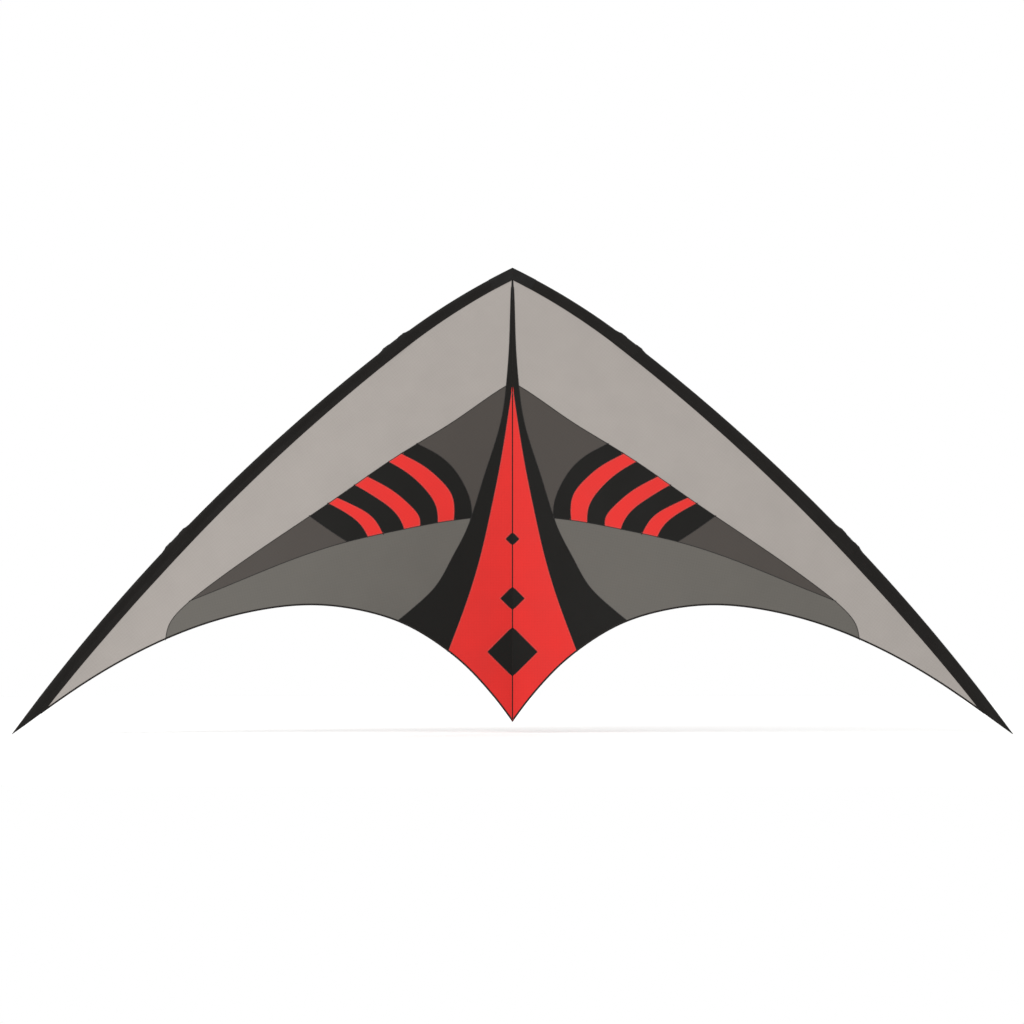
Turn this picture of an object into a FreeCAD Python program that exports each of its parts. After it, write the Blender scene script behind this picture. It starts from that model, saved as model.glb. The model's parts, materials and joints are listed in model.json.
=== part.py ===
import FreeCAD, Part
import math
import os

import Sketcher
from BOPTools import SplitAPI

# Dual-line delta kite. X runs across the span, Z from tail to nose, and +Y points at the flyer.
# The origin is the bridle eye on the centre tee, where the kite hangs on its bridle.
# The frame is on the +Y side of the sail, and the sail bellies out towards -Y.

V = FreeCAD.Vector
UP = V(0, 0, 1)
FORE = V(0, 1, 0)
ACROSS = V(1, 0, 0)
SIDES = {"left": -1, "right": 1}

doc = FreeCAD.newDocument("delta_kite")
sizes = doc.addObject("Spreadsheet::Sheet", "sizes")

DRIVING_SIZES = {
    # spine and tubes
    "spine_axis_fore": -11.0,
    "spine_top": 466.0,
    "spine_bottom": -318.0,
    "spar_radius": 3.0,
    "spar_bore_radius": 2.1,
    "ferrule_radius": 2.05,
    "ferrule_length": 70.0,
    "cap_radius": 3.9,
    "cap_wall_length": 12.0,
    "cap_floor": 2.0,
    # leading edge, in its own plane from the nose to the wing tip
    "nose_apex": 487.0,
    "edge_chord_across": 898.0,
    "edge_chord_aft": 110.0,
    "edge_chord_drop": 839.0,
    "edge_plane_lean": 0.35,
    "edge_rise": 2.0,
    "nose_angle": 18.1,
    "shoulder_angle": 5.8,
    "tip_angle": -11.5,
    "shoulder_run": 242.0,
    "edge_run": 1245.0,
    "spar_start_run": 30.0,
    "spar_joint_run": 560.0,
    "spar_end_run": 1204.0,
    "sleeve_start_run": 18.0,
    "sleeve_loop_radius": 4.2,
    "sleeve_outer_radius": 4.8,
    "sleeve_reach": 20.0,
    "sleeve_slope": 20.0,
    "cutout_length": 42.0,
    "cutout_width": 17.0,
    "cutout_depth": 18.0,
    "cutout_shift": 1.0,
    # sail
    "sail_behind_spine": 5.2,
    "sail_thickness": 0.8,
    "sail_inner_edge": 2.0,
    "nose_pocket_grip": 30.0,
    "tail_pocket_grip": 26.0,
    "cloth_gap": 0.5,
    "seam_half_width": 1.6,
    "billow_depth": 85.0,
    "half_span": 900.0,
    "hem_width": 4.5,
    # tee and fittings
    "tee_radius": 6.5,
    "tee_half_length": 15.0,
    "tee_back": 4.0,
    "web_sunk": 2.0,
    "eye_radius": 1.6,
    "eye_wall_radius": 4.0,
    "eye_length": 4.0,
    "eye_height": 11.5,
    "eye_setback": 1.0,
    "neck_drop": 1.5,
    "arm_start": 7.6,
    "arm_length": 26.0,
    "arm_radius": 5.0,
    "arm_slot_half": 4.0,
    "hub_radius": 6.5,
    "hub_length": 22.0,
    "hub_bore_radius": 3.1,
    "socket_wall": 1.8,
    "socket_length": 30.0,
    "socket_floor": 3.0,
    "clip_radius": 5.2,
    "clip_length": 5.0,
    "clip_bore_radius": 3.05,
    "clip_gap": 0.5,
    "spine_clip_radius": 4.2,
    # spreaders and standoffs
    "lower_fitting_run": 786.0,
    "lower_rod_offset": 12.0,
    "rod_fore_of_spine": 1.5,
    "rod_inner_end": 9.5,
    "upper_fitting_run": 251.0,
    "upper_rod_radius": 2.2,
    "upper_rod_bore_radius": 1.4,
    "upper_rod_fore_of_sail": 12.0,
    "standoff_station": 300.0,
    "standoff_radius": 1.25,
    "standoff_foot_height": -110.0,
    "standoff_foot_radius": 2.4,
    "standoff_foot_length": 10.0,
    "foot_gap": 5.2,
    "standoff_clip_length": 14.0,
    "standoff_clip_radius": 5.6,
    "standoff_stem_radius": 3.2,
    "standoff_stem": 14.0,
}
for row, (alias, number) in enumerate(DRIVING_SIZES.items(), start=1):
    sizes.set(f"A{row}", alias)
    sizes.set(f"B{row}", str(number))
    sizes.setAlias(f"B{row}", alias)
doc.recompute()


def size(alias):
    return float(sizes.get(alias))


SAIL_FORE = size("spine_axis_fore") - size("sail_behind_spine")
CLEARANCE = 0.05

nodes = {}


def keep(obj, label):
    """Marks an object as one of the kite's pieces, under the piece's own name."""
    obj.Label = label
    nodes[label] = obj
    return obj


# ---------------------------------------------------------------- leading-edge line

chord = V(size("edge_chord_across"), -size("edge_chord_aft"), -size("edge_chord_drop")).normalize()
flat_out = V(size("edge_chord_drop"), 0, size("edge_chord_across")).normalize()
out_guess = flat_out + FORE * size("edge_plane_lean")
outward = (out_guess - chord * out_guess.dot(chord)).normalize()
edge_normal = outward.cross(chord)
edge_origin = V(0, SAIL_FORE + size("edge_rise"), size("nose_apex"))
shoulder_turn = math.radians(size("nose_angle") - size("shoulder_angle"))
outer_turn = math.radians(size("shoulder_angle") - size("tip_angle"))
SHOULDER_RADIUS = size("shoulder_run") / shoulder_turn
OUTER_RADIUS = (size("edge_run") - size("shoulder_run")) / outer_turn


def edge_frame(run):
    """Point, tangent and inward direction of the leading-edge spar line, run mm from the nose."""
    heading = math.radians(size("nose_angle"))
    along, out = 0.0, 0.0
    shoulder = min(run, size("shoulder_run"))
    for length, radius in ((shoulder, SHOULDER_RADIUS), (run - shoulder, OUTER_RADIUS)):
        turned = heading - length / radius
        along += radius * (math.sin(heading) - math.sin(turned))
        out += radius * (math.cos(turned) - math.cos(heading))
        heading = turned
    point = edge_origin + chord * along + outward * out
    tangent = chord * math.cos(heading) + outward * math.sin(heading)
    inward = chord * math.sin(heading) - outward * math.cos(heading)
    return point, tangent, inward


def edge_at(across):
    """Spar line point at a distance across the span, found by halving."""
    low, high = 0.0, size("edge_run")
    for _ in range(40):
        middle = (low + high) / 2
        if edge_frame(middle)[0].x < across:
            low = middle
        else:
            high = middle
    return edge_frame(low)[0]


def frame_placement(origin, x_axis, y_axis):
    rotation = FreeCAD.Rotation(x_axis, y_axis, x_axis.cross(y_axis), "XYZ")
    return FreeCAD.Placement(origin, rotation)


def axis_placement(start, direction):
    return FreeCAD.Placement(start, FreeCAD.Rotation(UP, direction))


# ---------------------------------------------------------------- makers of solids

def origin_plane(body, role):
    return next(feature for feature in body.Origin.OriginFeatures if feature.Role == role)


def new_sketch(body, name, role):
    sketch = body.newObject("Sketcher::SketchObject", name)
    sketch.AttachmentSupport = (origin_plane(body, role), [""])
    sketch.MapMode = "FlatFace"
    return sketch


def bound_circle(sketch, alias):
    """Circle on the sketch's origin whose radius is bound to the sheet."""
    circle = sketch.addGeometry(Part.Circle(V(0, 0, 0), UP, size(alias)))
    sketch.addConstraint(Sketcher.Constraint("Coincident", circle, 3, -1, 1))
    radius = sketch.addConstraint(Sketcher.Constraint("Radius", circle, size(alias)))
    sketch.setExpression(f"Constraints[{radius}]", f"sizes.{alias}")


def tube(label, radii, start, end):
    """Straight round rod or tube from start to end: one circle is solid, two are a tube."""
    body = doc.addObject("PartDesign::Body", label)
    sketch = new_sketch(body, label + "_section", "XY_Plane")
    for alias in radii:
        bound_circle(sketch, alias)
    pad = body.newObject("PartDesign::Pad", label + "_pad")
    pad.Profile = sketch
    pad.Length = (end - start).Length
    body.Placement = axis_placement(start, end - start)
    return keep(body, label)


def cylinder(name, radius, length, start, direction):
    """Round primitive; radius and length are sheet expressions or plain numbers."""
    solid = doc.addObject("Part::Cylinder", name)
    solid.setExpression("Radius", str(radius))
    solid.setExpression("Height", str(length))
    solid.Placement = axis_placement(start, direction)
    return solid


def box(name, lengths, placement):
    """Box centred on its placement's origin."""
    solid = doc.addObject("Part::Box", name)
    solid.Length, solid.Width, solid.Height = lengths
    centre = V(*lengths) * -0.5
    solid.Placement = placement.multiply(FreeCAD.Placement(centre, FreeCAD.Rotation()))
    return solid


def fuse(name, solids):
    joined = doc.addObject("Part::MultiFuse", name)
    joined.Shapes = solids
    return joined


def cut(name, base, tools):
    tool = tools[0] if len(tools) == 1 else fuse(name + "_tools", tools)
    result = doc.addObject("Part::Cut", name)
    result.Base = base
    result.Tool = tool
    return result


def group(name, solids):
    compound = doc.addObject("Part::Compound", name)
    compound.Links = solids
    return compound


def mirrored(label, source):
    """The same piece on the left wing."""
    twin = doc.addObject("Part::Mirroring", label)
    twin.Source = source
    twin.Normal = ACROSS
    twin.Base = V(0, 0, 0)
    return keep(twin, label)


def both_wings(name, source):
    keep(source, "right_" + name)
    mirrored("left_" + name, source)


# ---------------------------------------------------------------- curved leading-edge pieces

def path_arcs(start_run, end_run):
    """Arcs of the spar line in the plane of its own start: along +x, bending to +y."""
    spans = []
    shoulder = size("shoulder_run")
    if start_run < shoulder:
        spans.append((min(end_run, shoulder) - start_run, SHOULDER_RADIUS))
    if end_run > shoulder:
        spans.append((end_run - max(start_run, shoulder), OUTER_RADIUS))
    arcs = []
    point, heading = V(0, 0, 0), 0.0
    for length, radius in spans:
        centre = point + V(-math.sin(heading), math.cos(heading), 0) * radius
        first = heading - math.pi / 2
        last = first + length / radius
        arcs.append(Part.ArcOfCircle(Part.Circle(centre, UP, radius), first, last))
        point = centre + V(math.cos(last), math.sin(last), 0) * radius
        heading += length / radius
    return arcs


def edge_pipe(name, start_run, end_run, draw_section):
    """Section swept along the spar line between two runs."""
    body = doc.addObject("PartDesign::Body", name)
    path = new_sketch(body, name + "_path", "XY_Plane")
    for arc in path_arcs(start_run, end_run):
        path.addGeometry(arc)
    section = new_sketch(body, name + "_section", "YZ_Plane")
    draw_section(section)
    pipe = body.newObject("PartDesign::AdditivePipe", name + "_pipe")
    pipe.Profile = section
    pipe.Spine = path
    point, tangent, inward = edge_frame(start_run)
    body.Placement = frame_placement(point, tangent, inward)
    return body


def draw_tube(sketch):
    bound_circle(sketch, "spar_radius")
    bound_circle(sketch, "spar_bore_radius")


def draw_ferrule(sketch):
    bound_circle(sketch, "ferrule_radius")


def draw_sleeve(sketch):
    """Loop of cloth round the spar, with its two plies sewn together as a strip to one side."""
    slope = math.radians(size("sleeve_slope"))
    outer = size("sleeve_outer_radius")
    half = size("sail_thickness") / 2
    swing = math.asin(half / outer)
    along = V(math.cos(slope), math.sin(slope), 0)
    side = V(-math.sin(slope), math.cos(slope), 0)
    near = outer * math.cos(swing)
    corners = [along * near + side * half, along * size("sleeve_reach") + side * half]
    corners += [along * size("sleeve_reach") - side * half, along * near - side * half]
    for first, last in zip(corners, corners[1:]):
        sketch.addGeometry(Part.LineSegment(first, last))
    loop = Part.Circle(V(0, 0, 0), UP, outer)
    sketch.addGeometry(Part.ArcOfCircle(loop, slope + swing, slope - swing + 2 * math.pi))
    bound_circle(sketch, "sleeve_loop_radius")


def make_leading_edge():
    spans = {
        "upper_leading_edge_spar": (size("spar_start_run"), size("spar_joint_run")),
        "lower_leading_edge_spar": (size("spar_joint_run") + CLEARANCE, size("spar_end_run")),
    }
    for name, (start_run, end_run) in spans.items():
        both_wings(name, edge_pipe("right_" + name, start_run, end_run, draw_tube))

    joint, half = size("spar_joint_run"), size("ferrule_length") / 2
    both_wings("spar_ferrule", edge_pipe("right_spar_ferrule", joint - half, joint + half, draw_ferrule))

    sleeve = edge_pipe("sleeve_blank", size("sleeve_start_run"), size("edge_run"), draw_sleeve)
    cutters = []
    for name in ("upper", "lower"):
        point, tangent, inward = edge_frame(size(name + "_fitting_run"))
        window = V(size("cutout_length"), size("cutout_width"), size("cutout_depth"))
        middle = point + inward * size("cutout_shift")
        cutters.append(box(name + "_window", window, frame_placement(middle, tangent, inward)))
    cutters.append(tip_cutter())
    both_wings("leading_edge_sleeve", cut("right_sleeve", sleeve, cutters))


def tip_cutter():
    """Block whose upper face follows the trailing edge into the wing tip, so the sleeve ends in a point."""
    tip = V(903, 0, -352)
    inboard = V(816, 0, -288)
    downhill = (tip - inboard).normalize()
    block = V(180, 400, 60)
    below = downhill.cross(FORE).normalize() * (block.z / 2)
    if below.z > 0:
        below = below * -1
    return box("tip_block", block, frame_placement(tip + below, downhill, FORE))


def end_cap(name, end, into):
    """Moulded cap over the end of a tube: a cup whose floor is just past the tube's end."""
    shell = cylinder(name + "_shell", "sizes.cap_radius", "sizes.cap_wall_length",
                     end - into * size("cap_floor"), into)
    mouth = cylinder(name + "_mouth", f"sizes.spar_radius + {CLEARANCE}", "sizes.cap_wall_length", end, into)
    return cut(name + "_cup", shell, [mouth])


def make_spar_caps():
    ends = {"nose": ("spar_start_run", 1), "tip": ("spar_end_run", -1)}
    for name, (alias, sense) in ends.items():
        point, tangent, _ = edge_frame(size(alias))
        both_wings(f"spar_{name}_cap", end_cap(f"spar_{name}", point, tangent * sense))


def clip_ring(name, centre, axis, radius):
    start = centre - axis * (size("clip_length") / 2)
    ring = cylinder(name + "_ring", radius, "sizes.clip_length", start, axis)
    hole = cylinder(name + "_hole", "sizes.clip_bore_radius", "sizes.clip_length", start, axis)
    return cut(name, ring, [hole])


def make_edge_clips():
    """Snap rings that keep each leading-edge fitting where it belongs on the spar."""
    reach = size("hub_length") / 2 + size("clip_length") / 2 + size("clip_gap")
    rings = []
    for fitting in ("upper", "lower"):
        for sense in (-1, 1):
            point, tangent, _ = edge_frame(size(fitting + "_fitting_run") + sense * reach)
            rings.append(clip_ring(f"{fitting}_clip_{sense + 1}", point, tangent, "sizes.clip_radius"))
    both_wings("stop_clips", group("right_clip_group", rings))


# ---------------------------------------------------------------- sail

def panel_depth(across):
    """Depth of the wing from leading to trailing edge, as a cubic through four stations."""
    u = across / 300
    return 800 - 385 * u + 76.5 * u * (u - 1) - 15.67 * u * (u - 1) * (u - 2)


def sail_fore(across, share):
    """Y of the sail's outer face; share runs from 0 at the leading edge to 1 at the trailing edge."""
    station = min(across / size("half_span"), 1.0)
    belly = math.sin(math.pi * (1.75 * station - 0.75 * station ** 2))
    edge = edge_at(across).y - size("edge_rise") * math.exp(-across / 60)
    return edge - size("billow_depth") * belly * max(share, 0.0) ** 1.3


def sail_point(across, height):
    share = (edge_at(across).z - height) / panel_depth(across)
    return V(across, sail_fore(across, share), height)


def sail_slab():
    """Thin curved plate, larger than one wing, from which the panels are cut."""
    shares = [-0.08, 0.0, 0.1, 0.22, 0.36, 0.52, 0.68, 0.84, 1.0, 1.15]
    grid = []
    for step in range(14):
        station = edge_frame(step * 90.0)[0]
        depth = panel_depth(station.x)
        grid.append([V(station.x, sail_fore(station.x, share), station.z - share * depth)
                     for share in shares])
    surface = Part.BSplineSurface()
    surface.interpolate(grid)
    return surface.toShape().extrude(FORE * size("sail_thickness"))


def upright(points, closed=False):
    """Wall through a smooth curve given as (across, height) points, standing along Y."""
    places = [V(across, -400, height) for across, height in points]
    if closed:
        edge = Part.makePolygon(places + places[:1])
        return Part.Face(edge).extrude(FORE * 600)
    curve = Part.BSplineCurve()
    curve.interpolate(places)
    return curve.toShape().extrude(FORE * 600)


def divide(solid, points):
    """Cuts a panel along a seam and returns its pieces, largest first; a seam that misses leaves it whole."""
    pieces = SplitAPI.slice(solid, [upright(points)], "Split").Solids or [solid]
    return sorted(pieces, key=lambda piece: -piece.Volume)


def on_side(pieces, key):
    """Splits a list of pieces in two by the place of each centre of mass."""
    chosen = [piece for piece in pieces if key(piece.CenterOfMass)]
    rest = [piece for piece in pieces if not key(piece.CenterOfMass)]
    return chosen, rest


TRAILING_EDGE = [(-25, -367), (0, -332), (25, -298), (54, -263), (90, -226), (127, -196), (199, -153),
                 (272, -130), (362, -119.5), (453, -128), (562, -156), (671, -202), (780, -265),
                 (903, -352), (960, -392)]
FLARE_OUTER = [(-3, 520), (1.5, 470), (6, 348), (10.3, 290), (20.5, 216), (50, 119), (70, 54), (85, 13),
               (110, -35), (138, -84), (174, -120), (204, -145), (240, -172)]
RED_EDGE = [(-6, 330), (0, 285), (9.8, 216), (25, 125), (42, 42), (57, -24), (86, -120), (115, -198),
            (136, -255)]
UPPER_SEAM = [(-40, 306), (13.6, 277), (103, 216), (202, 155), (317, 76), (463, -23), (556, -90),
              (601, -128), (621, -154), (628, -205)]
LOWER_SEAM = [(20, 44), (74, 38), (136, 29.5), (200, 17), (299, -5), (414, -43), (495, -76), (564, -104),
              (620, -126)]
BLOCK_INNER = [(210, 195), (173, 173), (139, 155), (110, 131), (86, 94), (76, 66), (74, 42), (78, 10)]
BLOCK_OUTER = [(400, 66), (368, 42), (333, 17), (299, -5), (266, -24)]
STRIPE_EDGES = [
    [(238, 178), (201, 155), (164, 135), (131, 108), (109, 78), (105, 54), (110, 10)],
    [(262, 160), (227, 141), (192, 120), (159, 90), (139, 58), (136, 32), (138, 5)],
    [(300, 133), (264, 114), (220, 90), (184, 60), (168, 38), (172, 5)],
    [(322, 116), (287, 98), (244, 72), (212, 46), (198, 21), (194, -3)],
    [(350, 90), (317, 75), (285, 60), (252, 38), (238, 17), (228, -6)],
    [(370, 84), (337, 66), (301, 46), (273, 22), (263, 4.5), (256, -14)],
]
DIAMONDS = [(0, 12), (-108, 21.5), (-205, 45)]


def inner_sleeve_line():
    """Where the cloth of the sail begins, just past the inner edge of the sleeve's strip."""
    slope = math.radians(size("sleeve_slope"))
    reach = size("sleeve_reach") + size("cloth_gap")
    line = []
    for step in range(-1, 14):
        point, tangent, inward = edge_frame(step * 96.0)
        along_strip = inward * math.cos(slope) + tangent.cross(inward) * math.sin(slope)
        line.append(point + along_strip * reach)
    return [(point.x, point.z) for point in line]


def half_diamonds():
    """Right halves of the three diamonds along the centre seam, smallest at the tee."""
    return [upright([(0, height + half), (half, height), (0, height - half)], closed=True)
            for height, half in DIAMONDS]


def sail_pieces():
    """Every cloth piece of the right wing, by name."""
    sides = divide(sail_slab(), [(size("sail_inner_edge"), 600), (size("sail_inner_edge"), -500)])
    blank = divide(sides[0], inner_sleeve_line())[0]
    wing = divide(blank, TRAILING_EDGE)[0]
    hem_line = [(across, height + size("hem_width")) for across, height in TRAILING_EDGE]
    cloth, hem = divide(wing, hem_line)[:2]

    cloth, centre = divide(cloth, FLARE_OUTER)[:2]
    centre, red = sorted(divide(centre, RED_EDGE)[:2], key=lambda piece: -piece.BoundBox.ZMax)
    upper, below = divide(cloth, UPPER_SEAM)[:2]
    trailing, middle = on_side(divide(below, LOWER_SEAM), lambda c: c.z < 30 - 0.28 * c.x)
    inner, middle = on_side(divide(middle[0], BLOCK_INNER), lambda c: c.x < 110)
    outer, block = on_side(divide(middle[0], BLOCK_OUTER), lambda c: c.x > 300)

    bands = block
    for edge in STRIPE_EDGES:
        bands = [piece for band in bands for piece in divide(band, edge)]
    bands = sorted(bands, key=lambda piece: piece.CenterOfMass.x)
    diamonds = [red.common(prism) for prism in half_diamonds()]
    red = red.cut(Part.makeCompound(half_diamonds()))
    return {
        "upper_sail_panel": [upper],
        "inner_sail_panel": inner,
        "striped_sail_panel": bands[0::2],
        "red_stripes": bands[1::2],
        "outer_sail_panel": outer,
        "trailing_sail_panel": trailing,
        "centre_flare_panel": [centre],
        "centre_red_panel": red.Solids,
        "diamond_inlays": [solid for shape in diamonds for solid in shape.Solids],
        "trailing_edge_hem": [hem],
    }


def make_sail():
    for name, solids in sail_pieces().items():
        cloth = Part.makeCompound(solids) if len(solids) > 1 else solids[0]
        for side, sign in SIDES.items():
            panel = doc.addObject("Part::Feature", f"{side}_{name}")
            panel.Shape = cloth if sign > 0 else cloth.mirror(V(0, 0, 0), ACROSS)
            keep(panel, f"{side}_{name}")


# ---------------------------------------------------------------- spine and its soft parts

def spine_point(height, fore=0.0):
    return V(0, size("spine_axis_fore") + fore, height)


def make_spine():
    top, bottom = spine_point(size("spine_top")), spine_point(size("spine_bottom"))
    tube("spine_rod", ["spar_radius", "spar_bore_radius"], bottom, top)
    keep(end_cap("spine_nose", top, UP * -1), "spine_nose_cap")
    keep(end_cap("spine_tail", bottom, UP), "spine_tail_cap")
    reach = size("tee_half_length") + size("clip_length") / 2 + size("clip_gap")
    rings = [clip_ring(f"spine_clip_{sense + 1}", spine_point(sense * reach), UP, "sizes.spine_clip_radius")
             for sense in (-1, 1)]
    keep(group("spine_clip_group", rings), "spine_stop_clips")


def make_centre_tee():
    """Moulded tee body: a barrel round the spine, flat towards the sail, with the bridle eye on its front."""
    half, length = size("tee_half_length"), size("eye_length")
    barrel = cylinder("tee_barrel", "sizes.tee_radius", "2 * sizes.tee_half_length", spine_point(-half), UP)
    flat = V(20, 8, 40)
    back = box("tee_flat", flat, FreeCAD.Placement(spine_point(0, -size("tee_back") - flat.y / 2),
                                                   FreeCAD.Rotation()))
    eye = cylinder("tee_eye", "sizes.eye_wall_radius", "sizes.eye_length", ACROSS * (-length / 2), ACROSS)
    web_fore = size("spine_axis_fore") + size("tee_radius") - size("web_sunk")
    web = box("tee_web", V(length, -web_fore, 2 * size("eye_wall_radius")),
              FreeCAD.Placement(V(0, web_fore / 2, 0), FreeCAD.Rotation()))
    bore = cylinder("tee_bore", "sizes.hub_bore_radius", "2 * sizes.tee_half_length", spine_point(-half), UP)
    hole = cylinder("tee_eye_hole", "sizes.eye_radius", "sizes.eye_length", ACROSS * (-length / 2), ACROSS)
    body = fuse("tee_solid", [barrel, eye, web])
    keep(cut("tee", body, [back, bore, hole]), "centre_tee")


def pocket(name, low, high):
    """Square cup of folded webbing round one end of the spine, thin where it lies on the sail."""
    side_wall, half_across, floor = 0.8, 4.3, 1.2
    inside_back, inside_front, back_wall = -3.95, 4.3, 0.35
    length = high - low
    centre = spine_point((low + high) / 2)
    outer_back, outer_front = inside_back - back_wall, inside_front + side_wall
    shell = box(name + "_shell", V(2 * (half_across + side_wall), outer_front - outer_back, length),
                FreeCAD.Placement(centre + FORE * ((outer_front + outer_back) / 2), FreeCAD.Rotation()))
    shift = UP * (-floor if low > 0 else floor)
    hollow = box(name + "_hollow", V(2 * half_across, inside_front - inside_back, length),
                 FreeCAD.Placement(centre + FORE * ((inside_front + inside_back) / 2) + shift,
                                   FreeCAD.Rotation()))
    return cut(name + "_cup", shell, [hollow])


def make_centre_cloth():
    nose_low, nose_high = size("spine_top") - size("nose_pocket_grip"), size("spine_top") + 6
    keep(pocket("nose", nose_low, nose_high), "nose_webbing")
    tail_low, tail_high = size("spine_bottom") - 4, size("spine_bottom") + size("tail_pocket_grip")
    keep(pocket("tail", tail_low, tail_high), "tail_pocket")
    seam = doc.addObject("Part::Box", "seam_tape")
    seam.setExpression("Length", "2 * sizes.seam_half_width")
    seam.setExpression("Width", "sizes.sail_thickness")
    seam_low, seam_high = -326.0, 470.0
    seam.Height = seam_high - seam_low
    seam.Placement = FreeCAD.Placement(V(-size("seam_half_width"), SAIL_FORE, seam_low), FreeCAD.Rotation())
    keep(seam, "centre_seam_tape")


# ---------------------------------------------------------------- fittings and rods

def rod_line():
    """Ends of the right lower spreader: at the tee and at the leading-edge fitting."""
    inner = V(size("rod_inner_end"), size("spine_axis_fore") + size("rod_fore_of_spine"), 0)
    spar_point, _, _ = edge_frame(size("lower_fitting_run"))
    outer = V(spar_point.x, spar_point.y + size("lower_rod_offset"), spar_point.z)
    return inner, outer


def eye_lug(name, point, tangent):
    """Bridle eye on a short post, on the tip side of a fitting's rod."""
    post = (FORE - tangent * FORE.dot(tangent)).normalize()
    centre = eye_centre(point, tangent)
    start = centre - tangent * (size("eye_length") / 2)
    ring = cylinder(name + "_eye", "sizes.eye_wall_radius", "sizes.eye_length", start, tangent)
    web_size = V(size("eye_length"), 2 * size("eye_wall_radius"), 6)
    foot = centre - post * (web_size.y / 2)
    web = box(name + "_eye_web", web_size, frame_placement(foot, tangent, post))
    hole = cylinder(name + "_eye_hole", "sizes.eye_radius", "sizes.eye_length", start, tangent)
    return [ring, web], hole


def eye_centre(point, tangent):
    post = (FORE - tangent * FORE.dot(tangent)).normalize()
    back_from_end = size("eye_length") / 2 + size("eye_setback")
    return point + tangent * (size("hub_length") / 2 - back_from_end) + post * size("eye_height")


def edge_fitting(name, run, rod_end, rod_direction, rod_radius, side):
    """Hub round the spar, with a blind socket for a rod on the flyer's side."""
    point, tangent, _ = edge_frame(run)
    if side == "left":
        point, tangent = V(-point.x, point.y, point.z), V(-tangent.x, tangent.y, tangent.z)
    start = point - tangent * (size("hub_length") / 2)
    hub = cylinder(name + "_hub", "sizes.hub_radius", "sizes.hub_length", start, tangent)
    bore = cylinder(name + "_bore", "sizes.hub_bore_radius", "sizes.hub_length", start, tangent)
    wall = f"{rod_radius} + sizes.socket_wall"
    socket_start = rod_end - rod_direction * size("socket_floor")
    socket = cylinder(name + "_socket", wall, "sizes.socket_length", socket_start, rod_direction)
    post = (FORE - tangent * FORE.dot(tangent)).normalize()
    neck_length = (rod_end - point).Length - size("neck_drop")
    neck = cylinder(name + "_neck", "sizes.arm_radius", neck_length, point, post)
    mouth = cylinder(name + "_mouth", f"{rod_radius} + {CLEARANCE}", "sizes.socket_length", rod_end,
                     rod_direction)
    lug, hole = eye_lug(name, point, tangent)
    solid = fuse(name + "_solid", [hub, socket, neck] + lug)
    return cut(name + "_cut", solid, [bore, mouth, hole])


def make_lower_spreader():
    inner, outer = rod_line()
    direction = (inner - outer).normalize()
    tube("right_spreader_rod", ["spar_radius", "spar_bore_radius"], outer, inner)
    mirrored("left_spreader_rod", nodes["right_spreader_rod"])
    fitting = edge_fitting("lower_fitting", size("lower_fitting_run"), outer, direction,
                           "sizes.spar_radius", "right")
    both_wings("lower_fitting", fitting)


def make_tee_arm():
    """Flexible arm of the tee: a trough that holds the rod's inner end, open towards the flyer."""
    inner, outer = rod_line()
    direction = (outer - inner).normalize()
    start = inner + direction * (size("arm_start") - inner.x)
    side = direction.cross(UP).normalize()
    if side.y < 0:
        side = side * -1
    barrel = cylinder("arm_barrel", "sizes.arm_radius", "sizes.arm_length", start, direction)
    middle = start + direction * (size("arm_length") / 2)
    bed = cylinder("arm_bed", "sizes.hub_bore_radius", "sizes.arm_length", start, direction)
    past_ends, behind_axis = 1.0, 0.6
    slot = V(size("arm_length") + 2 * past_ends, 12, 2 * size("arm_slot_half"))
    centre = middle + side * (slot.y / 2 - behind_axis)
    mouth = box("arm_mouth", slot, frame_placement(centre, direction, side))
    both_wings("tee_arm", cut("arm_cut", barrel, [bed, mouth]))


def upper_rod_ends():
    spar_point, _, _ = edge_frame(size("upper_fitting_run"))
    fore = SAIL_FORE + size("upper_rod_fore_of_sail")
    right = V(spar_point.x, fore, spar_point.z)
    return V(-right.x, right.y, right.z), right


def make_upper_spreader():
    """Rod across the upper kite, socketed in the left fitting and laid in the right one's saddle."""
    left, right = upper_rod_ends()
    tube("upper_spreader_rod", ["upper_rod_radius", "upper_rod_bore_radius"], left, right)
    fitting = edge_fitting("upper_fitting", size("upper_fitting_run"), left, ACROSS,
                           "sizes.upper_rod_radius", "left")
    keep(fitting, "left_upper_fitting")

    point, tangent, _ = edge_frame(size("upper_fitting_run"))
    start = point - tangent * (size("hub_length") / 2)
    hub = cylinder("saddle_hub", "sizes.hub_radius", "sizes.hub_length", start, tangent)
    bore = cylinder("saddle_bore", "sizes.hub_bore_radius", "sizes.hub_length", start, tangent)
    rod_room = size("upper_rod_radius") + 0.5
    wall, over_rod_axis, above_spar_axis, inboard = 2.3, 2.0, 1.5, 2.5
    foot = point.y + above_spar_axis
    block = V(12, right.y + over_rod_axis - foot, 2 * (rod_room + wall))
    middle = V(right.x - inboard, foot + block.y / 2, right.z)
    seat = box("saddle_seat", block, FreeCAD.Placement(middle, FreeCAD.Rotation()))
    slot = V(24, 12, 2 * rod_room)
    bed = V(middle.x, right.y - rod_room + slot.y / 2, right.z)
    trough = box("saddle_slot", slot, FreeCAD.Placement(bed, FreeCAD.Rotation()))
    lug, hole = eye_lug("saddle", point, tangent)
    solid = fuse("saddle_solid", [hub, seat] + lug)
    keep(cut("saddle_cut", solid, [bore, trough, hole]), "right_upper_fitting")


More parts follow.
